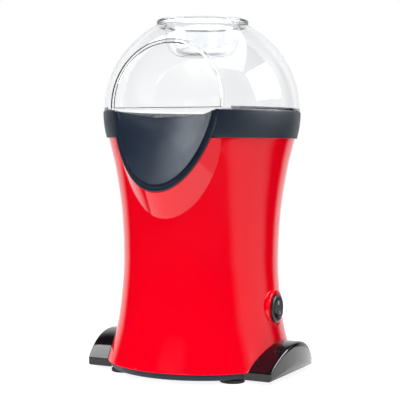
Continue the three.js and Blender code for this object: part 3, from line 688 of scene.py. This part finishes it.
def dome():
    """The clear dome: a ball's upper part with a leaning mouth, a bead round it and a bar across."""
    shoulder = COLLAR_TOP + GAP
    inner = DOME_R - DOME_WALL
    start = math.asin((shoulder - DOME_CENTRE_Z) / DOME_R)
    outer_end = math.acos(DOME_HOLE_R / DOME_R)
    inner_end = math.acos(DOME_HOLE_R / inner)
    outside = arc(DOME_R, start, outer_end, 44)
    inside = arc(inner, inner_end, start * 2, 44)
    cap = turned("dome", rounded([
        (SKIRT_INNER_R, SKIRT_BOTTOM, 0.5), (SKIRT_OUTER_R, SKIRT_BOTTOM, 0.5),
        (SKIRT_OUTER_R, shoulder, 0.1), (*outside[0][:2], 0.3), *outside[1:-1], (*outside[-1][:2], 0.5),
        (*inside[0][:2], 0.5), *inside[1:],
        (SKIRT_INNER_R, shoulder + 0.5, 0),
    ], 3), 256)
    lean = Matrix.Translation((0, MOUTH_Y, MOUTH_BASE_Z)) @ Matrix.Rotation(-MOUTH_LEAN, 4, "X")
    cutter = placed(block("mouth", -FAR, FAR, -120, 0, -30, FAR), lean)
    corners = block("chute_corners", -FAR, FAR, -FAR, -59, 200, COLLAR_TOP)
    cap = cut(cap, cutter, corners)
    normal = np.array([0, -math.cos(MOUTH_LEAN), math.sin(MOUTH_LEAN)])
    distance = normal @ np.array([0, MOUTH_Y, MOUTH_BASE_Z - DOME_CENTRE_Z])
    rim_r = math.sqrt(DOME_R ** 2 - distance ** 2) - 0.06
    bead = turned("bead", rounded([
        (rim_r - BEAD, -BEAD, 0.7), (rim_r, -BEAD, 0.2), (rim_r, 0, 0.6), (rim_r - BEAD, 0, 0.9),
    ]), 160)
    turn = Matrix.Rotation(math.pi / 2 - MOUTH_LEAN, 4, "X")
    centre = Vector(normal * distance) + Vector((0, 0, DOME_CENTRE_Z))
    bead = placed(bead, Matrix.Translation(centre) @ turn)
    bead = cut(bead, block("below", -FAR, FAR, -FAR, -40, 150, shoulder))
    bar = block("bar", -49, 49, MOUTH_Y - 0.3, MOUTH_Y + 2, shoulder, shoulder + 1.8, 0.4, 3)
    return join(cap, bead, bar)


def measuring_cup():
    """The clear cup that hangs in the dome's hole and closes it."""
    angles = np.linspace(0, math.pi / 2, 13)

    def bowl(r, low):
        sides = [CUP_FOOT_R + (r - CUP_FOOT_R) * math.sin(a) for a in angles]
        heights = [CUP_BOWL_TOP - (CUP_BOWL_TOP - low) * math.cos(a) for a in angles]
        return [(side, height, 0) for side, height in zip(sides, heights)]

    return turned("measuring_cup", rounded([
        (0, CUP_BOTTOM, 0), *bowl(CUP_BOWL_R, CUP_BOTTOM), (32.4, CUP_TOP - 1.8, 0.8),
        (CUP_RIM_R, CUP_TOP - 1.8, 0.3), (CUP_RIM_R, CUP_TOP - 2.8, 0.2), (CUP_LIP_R, CUP_TOP - 3.7, 0.4),
        (CUP_LIP_R, CUP_TOP, 0.9), (31, CUP_TOP, 1.1),
        *reversed(bowl(CUP_BOWL_R - CUP_WALL, CUP_BOTTOM + CUP_WALL)), (0, CUP_BOTTOM + CUP_WALL, 0),
    ]), 160)


# ---- pieces: base ----


def base_plate():
    """The dark plate that closes the bottom, with air slots, legs for the fan and screw wells."""
    plate = turned("base_plate", rounded([
        (0, PAD_TOP, 0), (BASE_R, PAD_TOP, 0.9), (BASE_R, 8, 0.4),
        (72.2, 8, 0.3), (72.2, PLATE_TOP, 0.5), (0, PLATE_TOP, 0),
    ]), ROUND)
    adds = posts("leg", 4.5, PLATE_TOP - 1, LEG_TOP - GAP, LEG_ORBIT, LEG_ANGLES, 32, 0.3)
    adds += posts("boss", 6, PLATE_TOP - 1, 7.2, BOSS_ORBIT, BOSS_ANGLES, 32, 0.3)
    cuts = posts("leg_hole", M3_HOLE, 30, 60, LEG_ORBIT, LEG_ANGLES)
    cuts += posts("well", 3.9, 0, 5.2, BOSS_ORBIT, BOSS_ANGLES, 32)
    cuts += posts("screw_hole", 1.9, 0, 9, BOSS_ORBIT, BOSS_ANGLES)
    cuts += posts("pad_hole", 3.3, 0, 9, PAD_ORBIT, PAD_ANGLES.values())
    for i in range(8):
        slot = block("slot", 16, 40, -1.7, 1.7, 0, 10, 0)
        cuts.append(placed(slot, Matrix.Rotation(math.radians(22.5 + 45 * i), 4, "Z")))
    for side in (0, 180):
        slot = block("tongue_slot", 70, 76, -TONGUE_HALF_WIDTH - GAP, TONGUE_HALF_WIDTH + GAP, PLATE_TOP, 9)
        cuts.append(placed(slot, Matrix.Rotation(math.radians(side), 4, "Z")))
        cuts += posts("foot_well", 3.6, 0, 4.2, FOOT_SCREW_X, [side], 32)
        cuts += posts("foot_hole", 1.8, 0, 9, FOOT_SCREW_X, [side])
    return cut(join(plate, *adds), *cuts)


def rubber_foot(angle):
    """A round rubber foot with a grooved sole and a plug that sits in the base plate."""
    foot = turned("foot", rounded([
        (0, 0, 0), (6.5, 0, 0.3), (7, 0.35, 0.3), (7.5, 0, 0.3), (10, 0, 0.9), (10, PAD_TOP - GAP, 0.3),
        (3, PAD_TOP - GAP, 0), (3, 6.5, 0.5), (0, 6.5, 0),
    ], 3), 56)
    return moved_to(foot, PAD_ORBIT, angle)


def foot_outline(inset):
    """The side foot's outline seen from the end: upright edges and an arched top."""
    rise = FOOT_CREST - FOOT_EDGE_TOP
    arch_r = (FOOT_HALF_WIDTH ** 2 + rise ** 2) / (2 * rise)
    half = FOOT_HALF_WIDTH - inset
    centre_z = FOOT_CREST - arch_r
    arch = arch_r - inset
    reach = math.asin(half / arch)
    low = FOOT_BOTTOM + inset
    edge = 0.8
    angles = np.linspace(reach, -reach, 61)
    top = [(arch * math.sin(a), centre_z + arch * math.cos(a), 0) for a in angles[1:-1]]
    corner_z = centre_z + arch * math.cos(reach)
    corners = [(-half, low, edge), (half, low, edge), (half, corner_z, edge)]
    return rounded([*corners, *top, (-half, corner_z, edge)])


def side_foot():
    """The glossy foot at the right: arched on top, with a soft edge round its bowed end."""
    bulge = FOOT_END_X - FOOT_CORNER_X
    end_r = (FOOT_HALF_WIDTH ** 2 + bulge ** 2) / (2 * bulge)
    edge = 1.8

    def end_x(y):
        return FOOT_END_X - end_r + np.sqrt(end_r ** 2 - y ** 2)

    sections = []
    flat = np.array(foot_outline(0))
    for x in np.linspace(40, 78, 12):
        sections.append(np.column_stack([np.full(len(flat), x), flat]))
    for angle in np.linspace(0, math.pi / 2, 7):
        ring = np.array(foot_outline(edge * (1 - math.cos(angle))))
        sections.append(np.column_stack([end_x(ring[:, 0]) - edge * (1 - math.sin(angle)), ring]))
    centre = np.array([0, 13])
    for share in np.linspace(0, 1, 12)[1:]:
        ring = centre + (np.array(foot_outline(edge)) - centre) * (1 - share)
        sections.append(np.column_stack([end_x(ring[:, 0]), ring]))
    sections = np.array(sections)
    rows, columns = sections.shape[:2]
    faces = grid_faces(rows, columns, False, True)
    faces.append(list(range(columns)))
    foot = mesh_object("side_foot", sections.reshape(-1, 3), faces)
    tongue = block("tongue", 60, 80, -TONGUE_HALF_WIDTH, TONGUE_HALF_WIDTH, PLATE_TOP + GAP, 8, 0.3)
    foot = cut(
        foot, body_solid("body_room", -GAP, SHELL_BOTTOM - GAP, 60),
        rod("plate_room", BASE_R + GAP, 0, SHELL_BOTTOM, ROUND),
    )
    return cut(join(foot, tongue), moved_to(rod("hole", 1.75, 5, 9, 24), FOOT_SCREW_X, 0))


def screw(head_r, head_height, shank_r, length):
    """A pan-head screw pointing up, with a cross recess in its head."""
    body = turned("screw", rounded([
        (0, -head_height, 0), (head_r, -head_height, head_height * 0.6), (head_r, 0, 0.1), (shank_r, 0, 0),
        (shank_r, length - shank_r, 0), (0, length, 0),
    ]), 40)
    reach = head_r * 0.6
    depth = (-head_height - 1, -head_height * 0.35)
    across = block("arm", -reach, reach, -0.35, 0.35, *depth)
    return cut(body, join(across, block("arm", -0.35, 0.35, -reach, reach, *depth)))


# ---- pieces: switch, gland and chamber ----


def switch_housing():
    """The switch's barrel and its round bezel, which rests on the casing's land."""
    back = SWITCH_LAND_X + GAP
    front = back + 1.85
    room = ROCKER_R + 0.32
    return along_x(turned("switch_housing", rounded([
        (room, 57, 0.2), (BARREL_R, 57, 0), (BARREL_R, back, 0), (BEZEL_R, back, 0.15),
        (BEZEL_R, front - 0.6, 0.6), (BEZEL_R - 1.3, front, 0.7), (room, front, 0.35),
    ]), 96), z=SWITCH_Z)


def rocker():
    """The switch's rocker: a ball with two dished faces that meet in a shallow V."""
    angles = np.linspace(-math.pi / 2, math.pi / 2, 33)
    ball = turned("rocker", [(ROCKER_R * math.cos(a), ROCKER_R * math.sin(a)) for a in angles], 64)
    upper = placed(block("upper", 0, 15, -12, 12, 0, 15), rocker_face(1))
    lower = placed(block("lower", 0, 15, -12, 12, -15, 0), rocker_face(-1))
    ball = cut(ball, upper, lower, block("back", -20, -3.5, -12, 12, -12, 12))
    return placed(ball, rocker_place())


def rocker_face(side):
    """Where the rocker's upper face (side 1) or lower face (side -1) lies on it."""
    return Matrix.Translation((ROCKER_FACE, 0, 0)) @ Matrix.Rotation(ROCKER_DISH * side, 4, "Y")


def rocker_place():
    return Matrix.Translation((ROCKER_PIVOT_X, 0, SWITCH_Z)) @ Matrix.Rotation(ROCKER_REST, 4, "Y")


def cord_gland():
    """The rubber gland at the back, with a flange on the casing's land and an open bore."""
    back = GLAND_LAND_Y + GAP
    return along_y(turned("cord_gland", rounded([
        (3.4, 65, 0.3), (GLAND_R, 65, 0.4), (GLAND_R, back, 0),
        (9, back, 0.3), (9, back + 2.2, 0.9), (3.4, back + 2.2, 0.6),
    ]), 72), z=GLAND_Z)


def popping_chamber():
    """The aluminium cup that the corn pops in, with slanted air slots round its foot."""
    bore = CHAMBER_R - CHAMBER_WALL
    lip = CHAMBER_LIP_Z
    cup = turned("popping_chamber", rounded([
        (0, CHAMBER_BOTTOM + 3, 0), (30, CHAMBER_BOTTOM, 4), (40, CHAMBER_BOTTOM, 1),
        (CHAMBER_R, CHAMBER_BOTTOM + 4, 1), (CHAMBER_R, lip - 0.6, 0.2),
        (CHAMBER_LIP_R, lip - 0.6, 0.3), (CHAMBER_LIP_R, lip + 0.4, 0.3), (CHAMBER_R, lip + 0.4, 0),
        (CHAMBER_R, CHAMBER_TOP, 0.3), (bore, CHAMBER_TOP, 0.3), (bore, CHAMBER_BOTTOM + 4.4, 1),
        (39.6, CHAMBER_BOTTOM + CHAMBER_WALL, 1), (30, CHAMBER_BOTTOM + CHAMBER_WALL, 4),
        (0, CHAMBER_BOTTOM + 3 + CHAMBER_WALL, 0),
    ]), 128)
    slots = []
    for i in range(12):
        place = Matrix.Rotation(math.radians(i * 30), 4, "Z") @ Matrix.Translation((0, 0, 127))
        place = place @ Matrix.Rotation(math.radians(25), 4, "X")
        slots.append(placed(block("slot", 38, 48, -1, 1, -7, 7, 0.6), place))
    return cut(cup, *slots)


def rocker_mark(name, shape, height):
    """A small white symbol that stands just proud of the rocker's upper or lower face."""
    face = rocker_face(1 if height > 0 else -1) @ Matrix.Translation((0, 0, height))
    return placed(shape, rocker_place() @ face @ Matrix.Rotation(math.pi / 2, 4, "Y"))


# ---- materials ----


def wired(tree, kind, inputs, **settings):
    """The outputs of a new node, with its inputs fed by values or by other nodes' outputs."""
    made = tree.nodes.new(kind)
    for label, value in settings.items():
        setattr(made, label, value)
    for label, value in inputs.items():
        if isinstance(value, bpy.types.NodeSocket):
            tree.links.new(value, made.inputs[label])
        else:
            made.inputs[label].default_value = value
    return made.outputs


class Finish:
    """A material whose shader gets its texture from noise in the piece's own coordinates."""

    def __init__(self, name, color, roughness, metallic=0.0, **values):
        self.made = bpy.data.materials.new(name)
        self.made.use_nodes = True
        self.tree = self.made.node_tree
        self.shader = next(n for n in self.tree.nodes if n.type == "BSDF_PRINCIPLED")
        self.shader.inputs["Base Color"].default_value = (*color, 1)
        self.shader.inputs["Roughness"].default_value = roughness
        self.shader.inputs["Metallic"].default_value = metallic
        for label, value in values.items():
            self.shader.inputs[label.replace("_", " ")].default_value = value
        self.color = color
        self.roughness = roughness
        self.place = self.node("ShaderNodeTexCoord", {})["Object"]
        self.relief = None

    def node(self, kind, inputs, **settings):
        return wired(self.tree, kind, inputs, **settings)

    def feed(self, source, label):
        self.tree.links.new(source, self.shader.inputs[label])

    def noise(self, scale, detail, stretch=(1, 1, 1)):
        place = self.node("ShaderNodeMapping", {"Vector": self.place, "Scale": stretch})["Vector"]
        return self.node("ShaderNodeTexNoise", {"Vector": place, "Scale": scale, "Detail": detail})["Fac"]

    def cells(self, scale, feature="F1"):
        place = {"Vector": self.place, "Scale": scale}
        return self.node("ShaderNodeTexVoronoi", place, feature=feature)["Distance"]

    def ranged(self, source, low, high, start=0.3, end=0.7):
        limits = {"From Min": start, "From Max": end, "To Min": low, "To Max": high}
        return self.node("ShaderNodeMapRange", {"Value": source, **limits})["Result"]

    def uneven_gloss(self, source, spread):
        """Lets the roughness wander by a spread to either side."""
        low = max(0.01, self.roughness - spread)
        self.feed(self.ranged(source, low, self.roughness + spread), "Roughness")

    def mottled(self, source, other, start=0.35, end=0.65):
        """Lets the colour wander to another one."""
        mix = self.tree.nodes.new("ShaderNodeMix")
        mix.data_type = "RGBA"
        self.tree.links.new(self.ranged(source, 0, 1, start, end), mix.inputs["Factor"])
        colors = [socket for socket in mix.inputs if socket.type == "RGBA"]
        colors[0].default_value = (*self.color, 1)
        colors[1].default_value = (*other, 1)
        self.feed(next(socket for socket in mix.outputs if socket.type == "RGBA"), "Base Color")

    def bumped(self, source, strength, depth):
        """Adds relief of a depth in metres; later calls lie on top of earlier ones."""
        inputs = {"Height": source, "Strength": strength, "Distance": depth}
        if self.relief is not None:
            inputs["Normal"] = self.relief
        self.relief = self.node("ShaderNodeBump", inputs)["Normal"]
        self.feed(self.relief, "Normal")
        return self

    def grained(self, gloss, mottle, other, *grains):
        """Uneven gloss, mottling and grains, each from (scale, detail) noise and its own amounts."""
        self.uneven_gloss(self.noise(*gloss[:2]), gloss[2])
        self.mottled(self.noise(*mottle), other)
        for scale, detail, strength, depth in grains:
            self.bumped(self.noise(scale, detail), strength, depth)
        return self.made


def glossy_red():
    """Bright red ABS, moulded glossy, with the faint waviness of a large moulding."""
    made = Finish("red_shell", (0.92, 0.0003, 0.011), 0.09, IOR=1.5)
    grains = (90, 1, 0.12, 0.0004), (1800, 2, 0.05, 0.00005)
    return made.grained((60, 4, 0.025), (25, 2), (0.90, 0.0004, 0.013), *grains)


def satin_dark():
    """Blue-grey plastic with the fine even grain of an etched mould."""
    made = Finish("dark_plastic", (0.006, 0.012, 0.026), 0.46, IOR=1.52)
    made.shader.inputs["Specular Tint"].default_value = (0.86, 0.93, 1, 1)
    made.uneven_gloss(made.noise(140, 4), 0.05)
    made.mottled(made.noise(40, 3), (0.008, 0.015, 0.030))
    made.bumped(made.cells(2600), 0.22, 0.00006)
    return made.bumped(made.noise(5200, 3), 0.15, 0.00004).made


def glossy_black():
    """Polished black plastic with slight sink and swirl."""
    made = Finish("black_gloss", (0.006, 0.0045, 0.007), 0.07, IOR=1.5)
    grains = (70, 1, 0.12, 0.0005), (2400, 2, 0.04, 0.00004)
    return made.grained((110, 4, 0.02), (30, 2), (0.008, 0.006, 0.009), *grains)


def matt_rubber():
    made = Finish("rubber", (0.012, 0.012, 0.013), 0.82, IOR=1.45)
    made.uneven_gloss(made.noise(400, 4), 0.08)
    made.mottled(made.noise(260, 4), (0.022, 0.021, 0.021))
    return made.bumped(made.cells(3200), 0.5, 0.0001).made


def clear_plastic():
    """Clear styrene with faint flow lines. It looks grey where a wall is seen on edge."""
    made = Finish("clear_plastic", (0.985, 0.99, 0.995), 0.02, IOR=1.49, Transmission_Weight=1.0)
    tint = made.node("ShaderNodeVolumeAbsorption", {"Color": (0.78, 0.80, 0.84, 1), "Density": 34})
    output = next(n for n in made.tree.nodes if n.type == "OUTPUT_MATERIAL")
    made.tree.links.new(tint["Volume"], output.inputs["Volume"])
    made.uneven_gloss(made.noise(120, 4), 0.012)
    return made.bumped(made.noise(36, 1, (1, 1, 0.5)), 0.10, 0.0006).made


def switch_black():
    made = Finish("switch_black", (0.010, 0.011, 0.015), 0.3, IOR=1.5)
    return made.grained((300, 4, 0.06), (120, 3), (0.015, 0.016, 0.020), (4200, 3, 0.2, 0.00005))


def drawn_aluminium():
    """Spun aluminium: fine rings round the axis and a light heat haze."""
    made = Finish("aluminium", (0.78, 0.78, 0.79), 0.26, 1.0)
    made.uneven_gloss(made.noise(60, 3, (1, 1, 40)), 0.08)
    made.mottled(made.noise(22, 4), (0.72, 0.69, 0.64), 0.4, 0.75)
    return made.bumped(made.noise(50, 2, (1, 1, 60)), 0.25, 0.00005).made


def rolled_steel():
    """Zinc-plated steel with faint spangle and rolling lines."""
    made = Finish("steel", (0.56, 0.57, 0.58), 0.36, 1.0)
    made.uneven_gloss(made.cells(420), 0.1)
    made.mottled(made.cells(260), (0.64, 0.64, 0.63), 0.1, 0.7)
    return made.bumped(made.noise(200, 3, (1, 1, 8)), 0.2, 0.00004).made


def white_nylon():
    made = Finish("nylon", (0.76, 0.74, 0.68), 0.48, IOR=1.53, Subsurface_Weight=0.08)
    made.shader.inputs["Subsurface Radius"].default_value = (0.002, 0.0015, 0.001)
    return made.grained((200, 4, 0.06), (90, 3), (0.80, 0.78, 0.73), (2600, 3, 0.2, 0.00006))


def flaky_mica():
    made = Finish("mica", (0.46, 0.34, 0.16), 0.5, IOR=1.56)
    made.uneven_gloss(made.cells(240), 0.16)
    made.mottled(made.noise(160, 6), (0.62, 0.50, 0.28), 0.3, 0.7)
    return made.bumped(made.cells(300), 0.5, 0.0001).made


def oxidised_wire():
    made = Finish("nichrome", (0.26, 0.22, 0.19), 0.42, 1.0)
    return made.grained((500, 4, 0.1), (180, 4), (0.16, 0.15, 0.17), (2400, 3, 0.3, 0.00005))


def circuit_board():
    made = Finish("board", (0.02, 0.16, 0.06), 0.3, IOR=1.55)
    made.uneven_gloss(made.noise(600, 3), 0.05)
    made.mottled(made.cells(900, "DISTANCE_TO_EDGE"), (0.03, 0.22, 0.09), 0.02, 0.12)
    return made.bumped(made.cells(900, "DISTANCE_TO_EDGE"), 0.4, 0.00005).made


def stamped_brass():
    made = Finish("brass", (0.63, 0.44, 0.16), 0.3, 1.0)
    return made.grained((300, 4, 0.08), (140, 4), (0.52, 0.36, 0.15), (1800, 2, 0.2, 0.00004))


def insulation(name, color, other):
    made = Finish(name, color, 0.45, IOR=1.5)
    return made.grained((500, 3, 0.06), (220, 3), other, (2200, 3, 0.2, 0.00005))


def white_print():
    made = Finish("white_print", (0.8, 0.8, 0.82), 0.4, IOR=1.5)
    return made.grained((1500, 3, 0.08), (1800, 3), (0.7, 0.7, 0.73), (6000, 2, 0.2, 0.00002))


FINISHES = {                      # by material slot
    "red_shell": glossy_red(),
    "dark_plastic": satin_dark(),
    "black_gloss": glossy_black(),
    "rubber": matt_rubber(),
    "clear_plastic": clear_plastic(),
    "switch_black": switch_black(),
    "aluminium": drawn_aluminium(),
    "steel": rolled_steel(),
    "nylon": white_nylon(),
    "mica": flaky_mica(),
    "nichrome": oxidised_wire(),
    "board": circuit_board(),
    "brass": stamped_brass(),
    "wire_insulation": insulation("wire_insulation", (0.02, 0.02, 0.022), (0.03, 0.03, 0.032)),
}

# ---- the object ----

show(outer_shell(), "casing", "base", "red_shell", "outer_shell")
show(top_ring(), "collar", "base", "dark_plastic", "top_ring")
show(chute(), "scoop", "lid", "dark_plastic", "chute")
show(dome(), "clear_dome", "lid", "clear_plastic", "dome")
show(measuring_cup(), "clear_cup", "cup", "clear_plastic", "measuring_cup")
show(base_plate(), "bottom_plate", "base", "dark_plastic", "base_plate")
for place, angle in PAD_ANGLES.items():
    show(rubber_foot(angle), f"pad_{place}", "base", "rubber", f"rubber_foot_{place}")

right_foot = side_foot()
left_foot = new_object("left_foot", right_foot.data.copy())
left_foot.data.transform(Matrix.Rotation(math.pi, 4, "Z"))
show(right_foot, "foot_right", "base", "black_gloss", "side_foot_right")
show(left_foot, "foot_left", "base", "black_gloss", "side_foot_left")

show(switch_housing(), "switch_bezel", "base", "switch_black", "switch_housing")
show(rocker(), "switch_key", "rocker", "switch_black", "switch_rocker")
show(cord_gland(), "gland", "base", "rubber", "cord_gland")
show(popping_chamber(), "chamber", "base", "aluminium", "popping_chamber")

ring_mark = rocker_mark("mark", tube("mark", 0.85, 1.35, -0.2, 0.06, 40), 4.1)
dash_mark = rocker_mark("mark", block("mark", -1.3, 1.3, -0.25, 0.25, -0.2, 0.06), -4.1)
mark_print = white_print()
show(ring_mark, "switch_mark_off", "rocker", "nylon", finish=mark_print)
show(dash_mark, "switch_mark_on", "rocker", "nylon", finish=mark_print)

for i, angle in enumerate(BOSS_ANGLES):
    piece = moved_to(screw(3.4, 1.5, 1.45, 16), BOSS_ORBIT, angle, 4.85)
    show(piece, f"base_bolt_{i + 1}", "base", "steel", f"base_screw_{i + 1}")
for i, angle in enumerate((0, 180)):
    piece = moved_to(screw(3.2, 0.8, 1.4, 3.6), FOOT_SCREW_X, angle, 3.9)
    show(piece, f"foot_bolt_{i + 1}", "base", "steel", f"side_foot_screw_{i + 1}")

wire_finishes = {
    "wire_switched": insulation("wire_red", (0.5, 0.02, 0.02), (0.42, 0.02, 0.02)),
    "wire_neutral": insulation("wire_blue", (0.03, 0.09, 0.42), (0.03, 0.08, 0.36)),
}
slot_of = {row["node"]: row["material_slot"] for row in frame["record"]["subparts"]}
for name, node in frame["nodes"].items():
    if node.hide_render:
        continue
    finish = wire_finishes.get(name, FINISHES[slot_of[name]])
    node.data.materials.clear()
    node.data.materials.append(finish)

# ---- camera ----

CAMERA_DISTANCE = 0.98216
CAMERA_HEIGHT = 0.18275
CAMERA_TURN = math.radians(26.418)
CAMERA_ANGLE = math.degrees(CAMERA_TURN) - 90
CAMERA_YAW = math.radians(0.074)
CAMERA_PITCH = math.radians(2.43)
CAMERA_ROLL = math.radians(0.343)
CAMERA_LENS = 105.767


def add_camera():
    """The photo's camera, with its axes worked out from its turn, yaw, pitch and roll."""
    turn = CAMERA_TURN + CAMERA_YAW
    ahead = Vector((-math.sin(turn), math.cos(turn), 0))
    right = Vector((math.cos(turn), math.sin(turn), 0))
    down_ahead = ahead * math.cos(CAMERA_PITCH) - Vector((0, 0, math.sin(CAMERA_PITCH)))
    up = Vector((0, 0, math.cos(CAMERA_PITCH))) + ahead * math.sin(CAMERA_PITCH)
    x_axis = right * math.cos(CAMERA_ROLL) + up * math.sin(CAMERA_ROLL)
    y_axis = up * math.cos(CAMERA_ROLL) - right * math.sin(CAMERA_ROLL)
    place = Matrix((x_axis, y_axis, -down_ahead)).transposed().to_4x4()
    place.translation = Vector((
        CAMERA_DISTANCE * math.sin(CAMERA_TURN), -CAMERA_DISTANCE * math.cos(CAMERA_TURN), CAMERA_HEIGHT,
    ))
    data = bpy.data.cameras.new("camera")
    data.lens = CAMERA_LENS
    data.sensor_width = 36
    data.clip_start = 0.01
    camera = new_object("camera", data)
    camera.matrix_world = place
    bpy.context.scene.camera = camera


add_camera()

# ---- floor and light ----

FLOOR_GLOW = 0.86
NEAR_GLOW = 1.15


def around(turn, rise, distance):
    """A place by its angle to the right of the camera's side, its angle above the floor and its distance."""
    angle = math.radians(CAMERA_ANGLE + turn)
    level = distance * math.cos(math.radians(rise))
    return level * math.cos(angle), level * math.sin(angle), distance * math.sin(math.radians(rise))


def add_sheet(name, radius, centre, glow):
    """A round sheet of white acrylic, lit from below, that the object stands on."""
    paper = bpy.data.meshes.new(name)
    x, y, z = centre
    turns = np.linspace(0, 2 * math.pi, 96, endpoint=False)
    ring = [(x + radius * math.cos(a), y + radius * math.sin(a), z) for a in turns]
    paper.from_pydata(ring, [], [list(range(len(ring)))])
    sheet = new_object(name, paper)
    finish = Finish(name, (0.25, 0.25, 0.25), 0.9, Specular_IOR_Level=0.1, Emission_Strength=glow)
    finish.shader.inputs["Emission Color"].default_value = (1, 1, 1, 1)
    finish.mottled(finish.noise(3, 2), (0.27, 0.27, 0.27))
    sheet.data.materials.append(finish.made)
    return sheet


def add_floor():
    """A pale floor. Only the part near the object shows in its gloss, as under a small lit table."""
    floor = add_sheet("floor", 0.8, (0, 0, 0), FLOOR_GLOW)
    floor.visible_glossy = False
    x, y, _ = around(0, 0, 0.12)
    near = add_sheet("floor_near", 0.26, (x, y, 0.0002), NEAR_GLOW)
    near.visible_camera = False
    near.visible_diffuse = False
    near.visible_shadow = False


def add_panel(name, place, target, width, height, radiance, glossy=True):
    """A soft box: a rectangle of light at a place, turned to a target, as bright as its radiance."""
    data = bpy.data.lights.new(name, "AREA")
    data.shape = "RECTANGLE"
    data.size = width
    data.size_y = height
    data.energy = radiance * math.pi * width * height
    lamp = new_object(name, data)
    direction = Vector(target) - Vector(place)
    lamp.rotation_euler = direction.to_track_quat("-Z", "Y").to_euler()
    lamp.location = place
    lamp.visible_camera = False
    lamp.visible_glossy = glossy
    return lamp


def add_world():
    """White paper behind the object, a light wall at its right and a dim room in front of it.

    Whatever is seen straight on or through the clear plastic is bright all round.
    """
    world = bpy.data.worlds.new("studio")
    bpy.context.scene.world = world
    world.use_nodes = True
    tree = world.node_tree
    ray = wired(tree, "ShaderNodeTexCoord", {})["Generated"]

    def worked(operation, a, b):
        return wired(tree, "ShaderNodeMath", {0: a, 1: b}, operation=operation)["Value"]

    def aimed(operation, *vectors):
        return wired(tree, "ShaderNodeVectorMath", dict(enumerate(vectors)), operation=operation)

    def faded(value, start, end, low, high):
        """A soft step from low to high while a value goes from start to end."""
        limits = {"From Min": start, "From Max": end, "To Min": low, "To Max": high}
        step = wired(tree, "ShaderNodeMapRange", {"Value": value, **limits}, interpolation_type="SMOOTHSTEP")
        return step["Result"]

    rise = wired(tree, "ShaderNodeSeparateXYZ", {"Vector": ray})["Z"]
    top_edge = faded(rise, 0.45, 0.75, 1, 0)

    def wall(angle, soft, full, brightness, lean=0.0):
        """A wall of light centred on an angle about Z. It fades from soft to full degrees off its centre."""
        centre = (math.cos(math.radians(angle)), math.sin(math.radians(angle)), 0)
        turn = {"Vector": ray, "Axis": centre, "Angle": math.radians(lean)}
        leaning = wired(tree, "ShaderNodeVectorRotate", turn)["Vector"]
        heading = aimed("NORMALIZE", aimed("MULTIPLY", leaning, (1, 1, 0))["Vector"])["Vector"]
        facing = aimed("DOT_PRODUCT", heading, centre)["Value"]
        start = math.cos(math.radians(soft))
        end = math.cos(math.radians(full))
        return worked("MULTIPLY", faded(facing, start, end, 0, brightness), top_edge)

    path = wired(tree, "ShaderNodeLightPath", {})
    through = worked("MULTIPLY", path["Is Transmission Ray"], 0.85)
    brightness = worked("MAXIMUM", path["Is Camera Ray"], through)
    for source in (wall(CAMERA_ANGLE + 180, 52, 38, 1.0), wall(CAMERA_ANGLE + 80, 32, 15, 0.8, 33)):
        brightness = worked("MAXIMUM", brightness, source)
    background = tree.nodes["Background"]
    background.inputs["Color"].default_value = (1, 1, 1, 1)
    tree.links.new(brightness, background.inputs["Strength"])


add_floor()
add_world()
add_panel("top_panel", (0.1, -0.1, 1.6), (0, 0, 0), 2.0, 2.0, 4.0, glossy=False)
add_panel("front_fill", (-0.4, -1.9, 1.2), (0, 0, 0.12), 1.2, 1.2, 4.6, glossy=False)
left_panel = add_panel("left_panel", around(-105, 45, 1.5), (0, 0, 0.15), 0.85, 1.0, 6.0)
right_panel = add_panel("right_panel", around(85, 33, 1.5), (0, 0, 0.15), 1.0, 0.7, 11.5)
for panel in (left_panel, right_panel):
    panel.visible_diffuse = False

scene = bpy.context.scene
scene.view_settings.view_transform = "Standard"
scene.view_settings.look = "None"
scene.cycles.max_bounces = 16
scene.cycles.transmission_bounces = 12
scene.cycles.transparent_max_bounces = 12
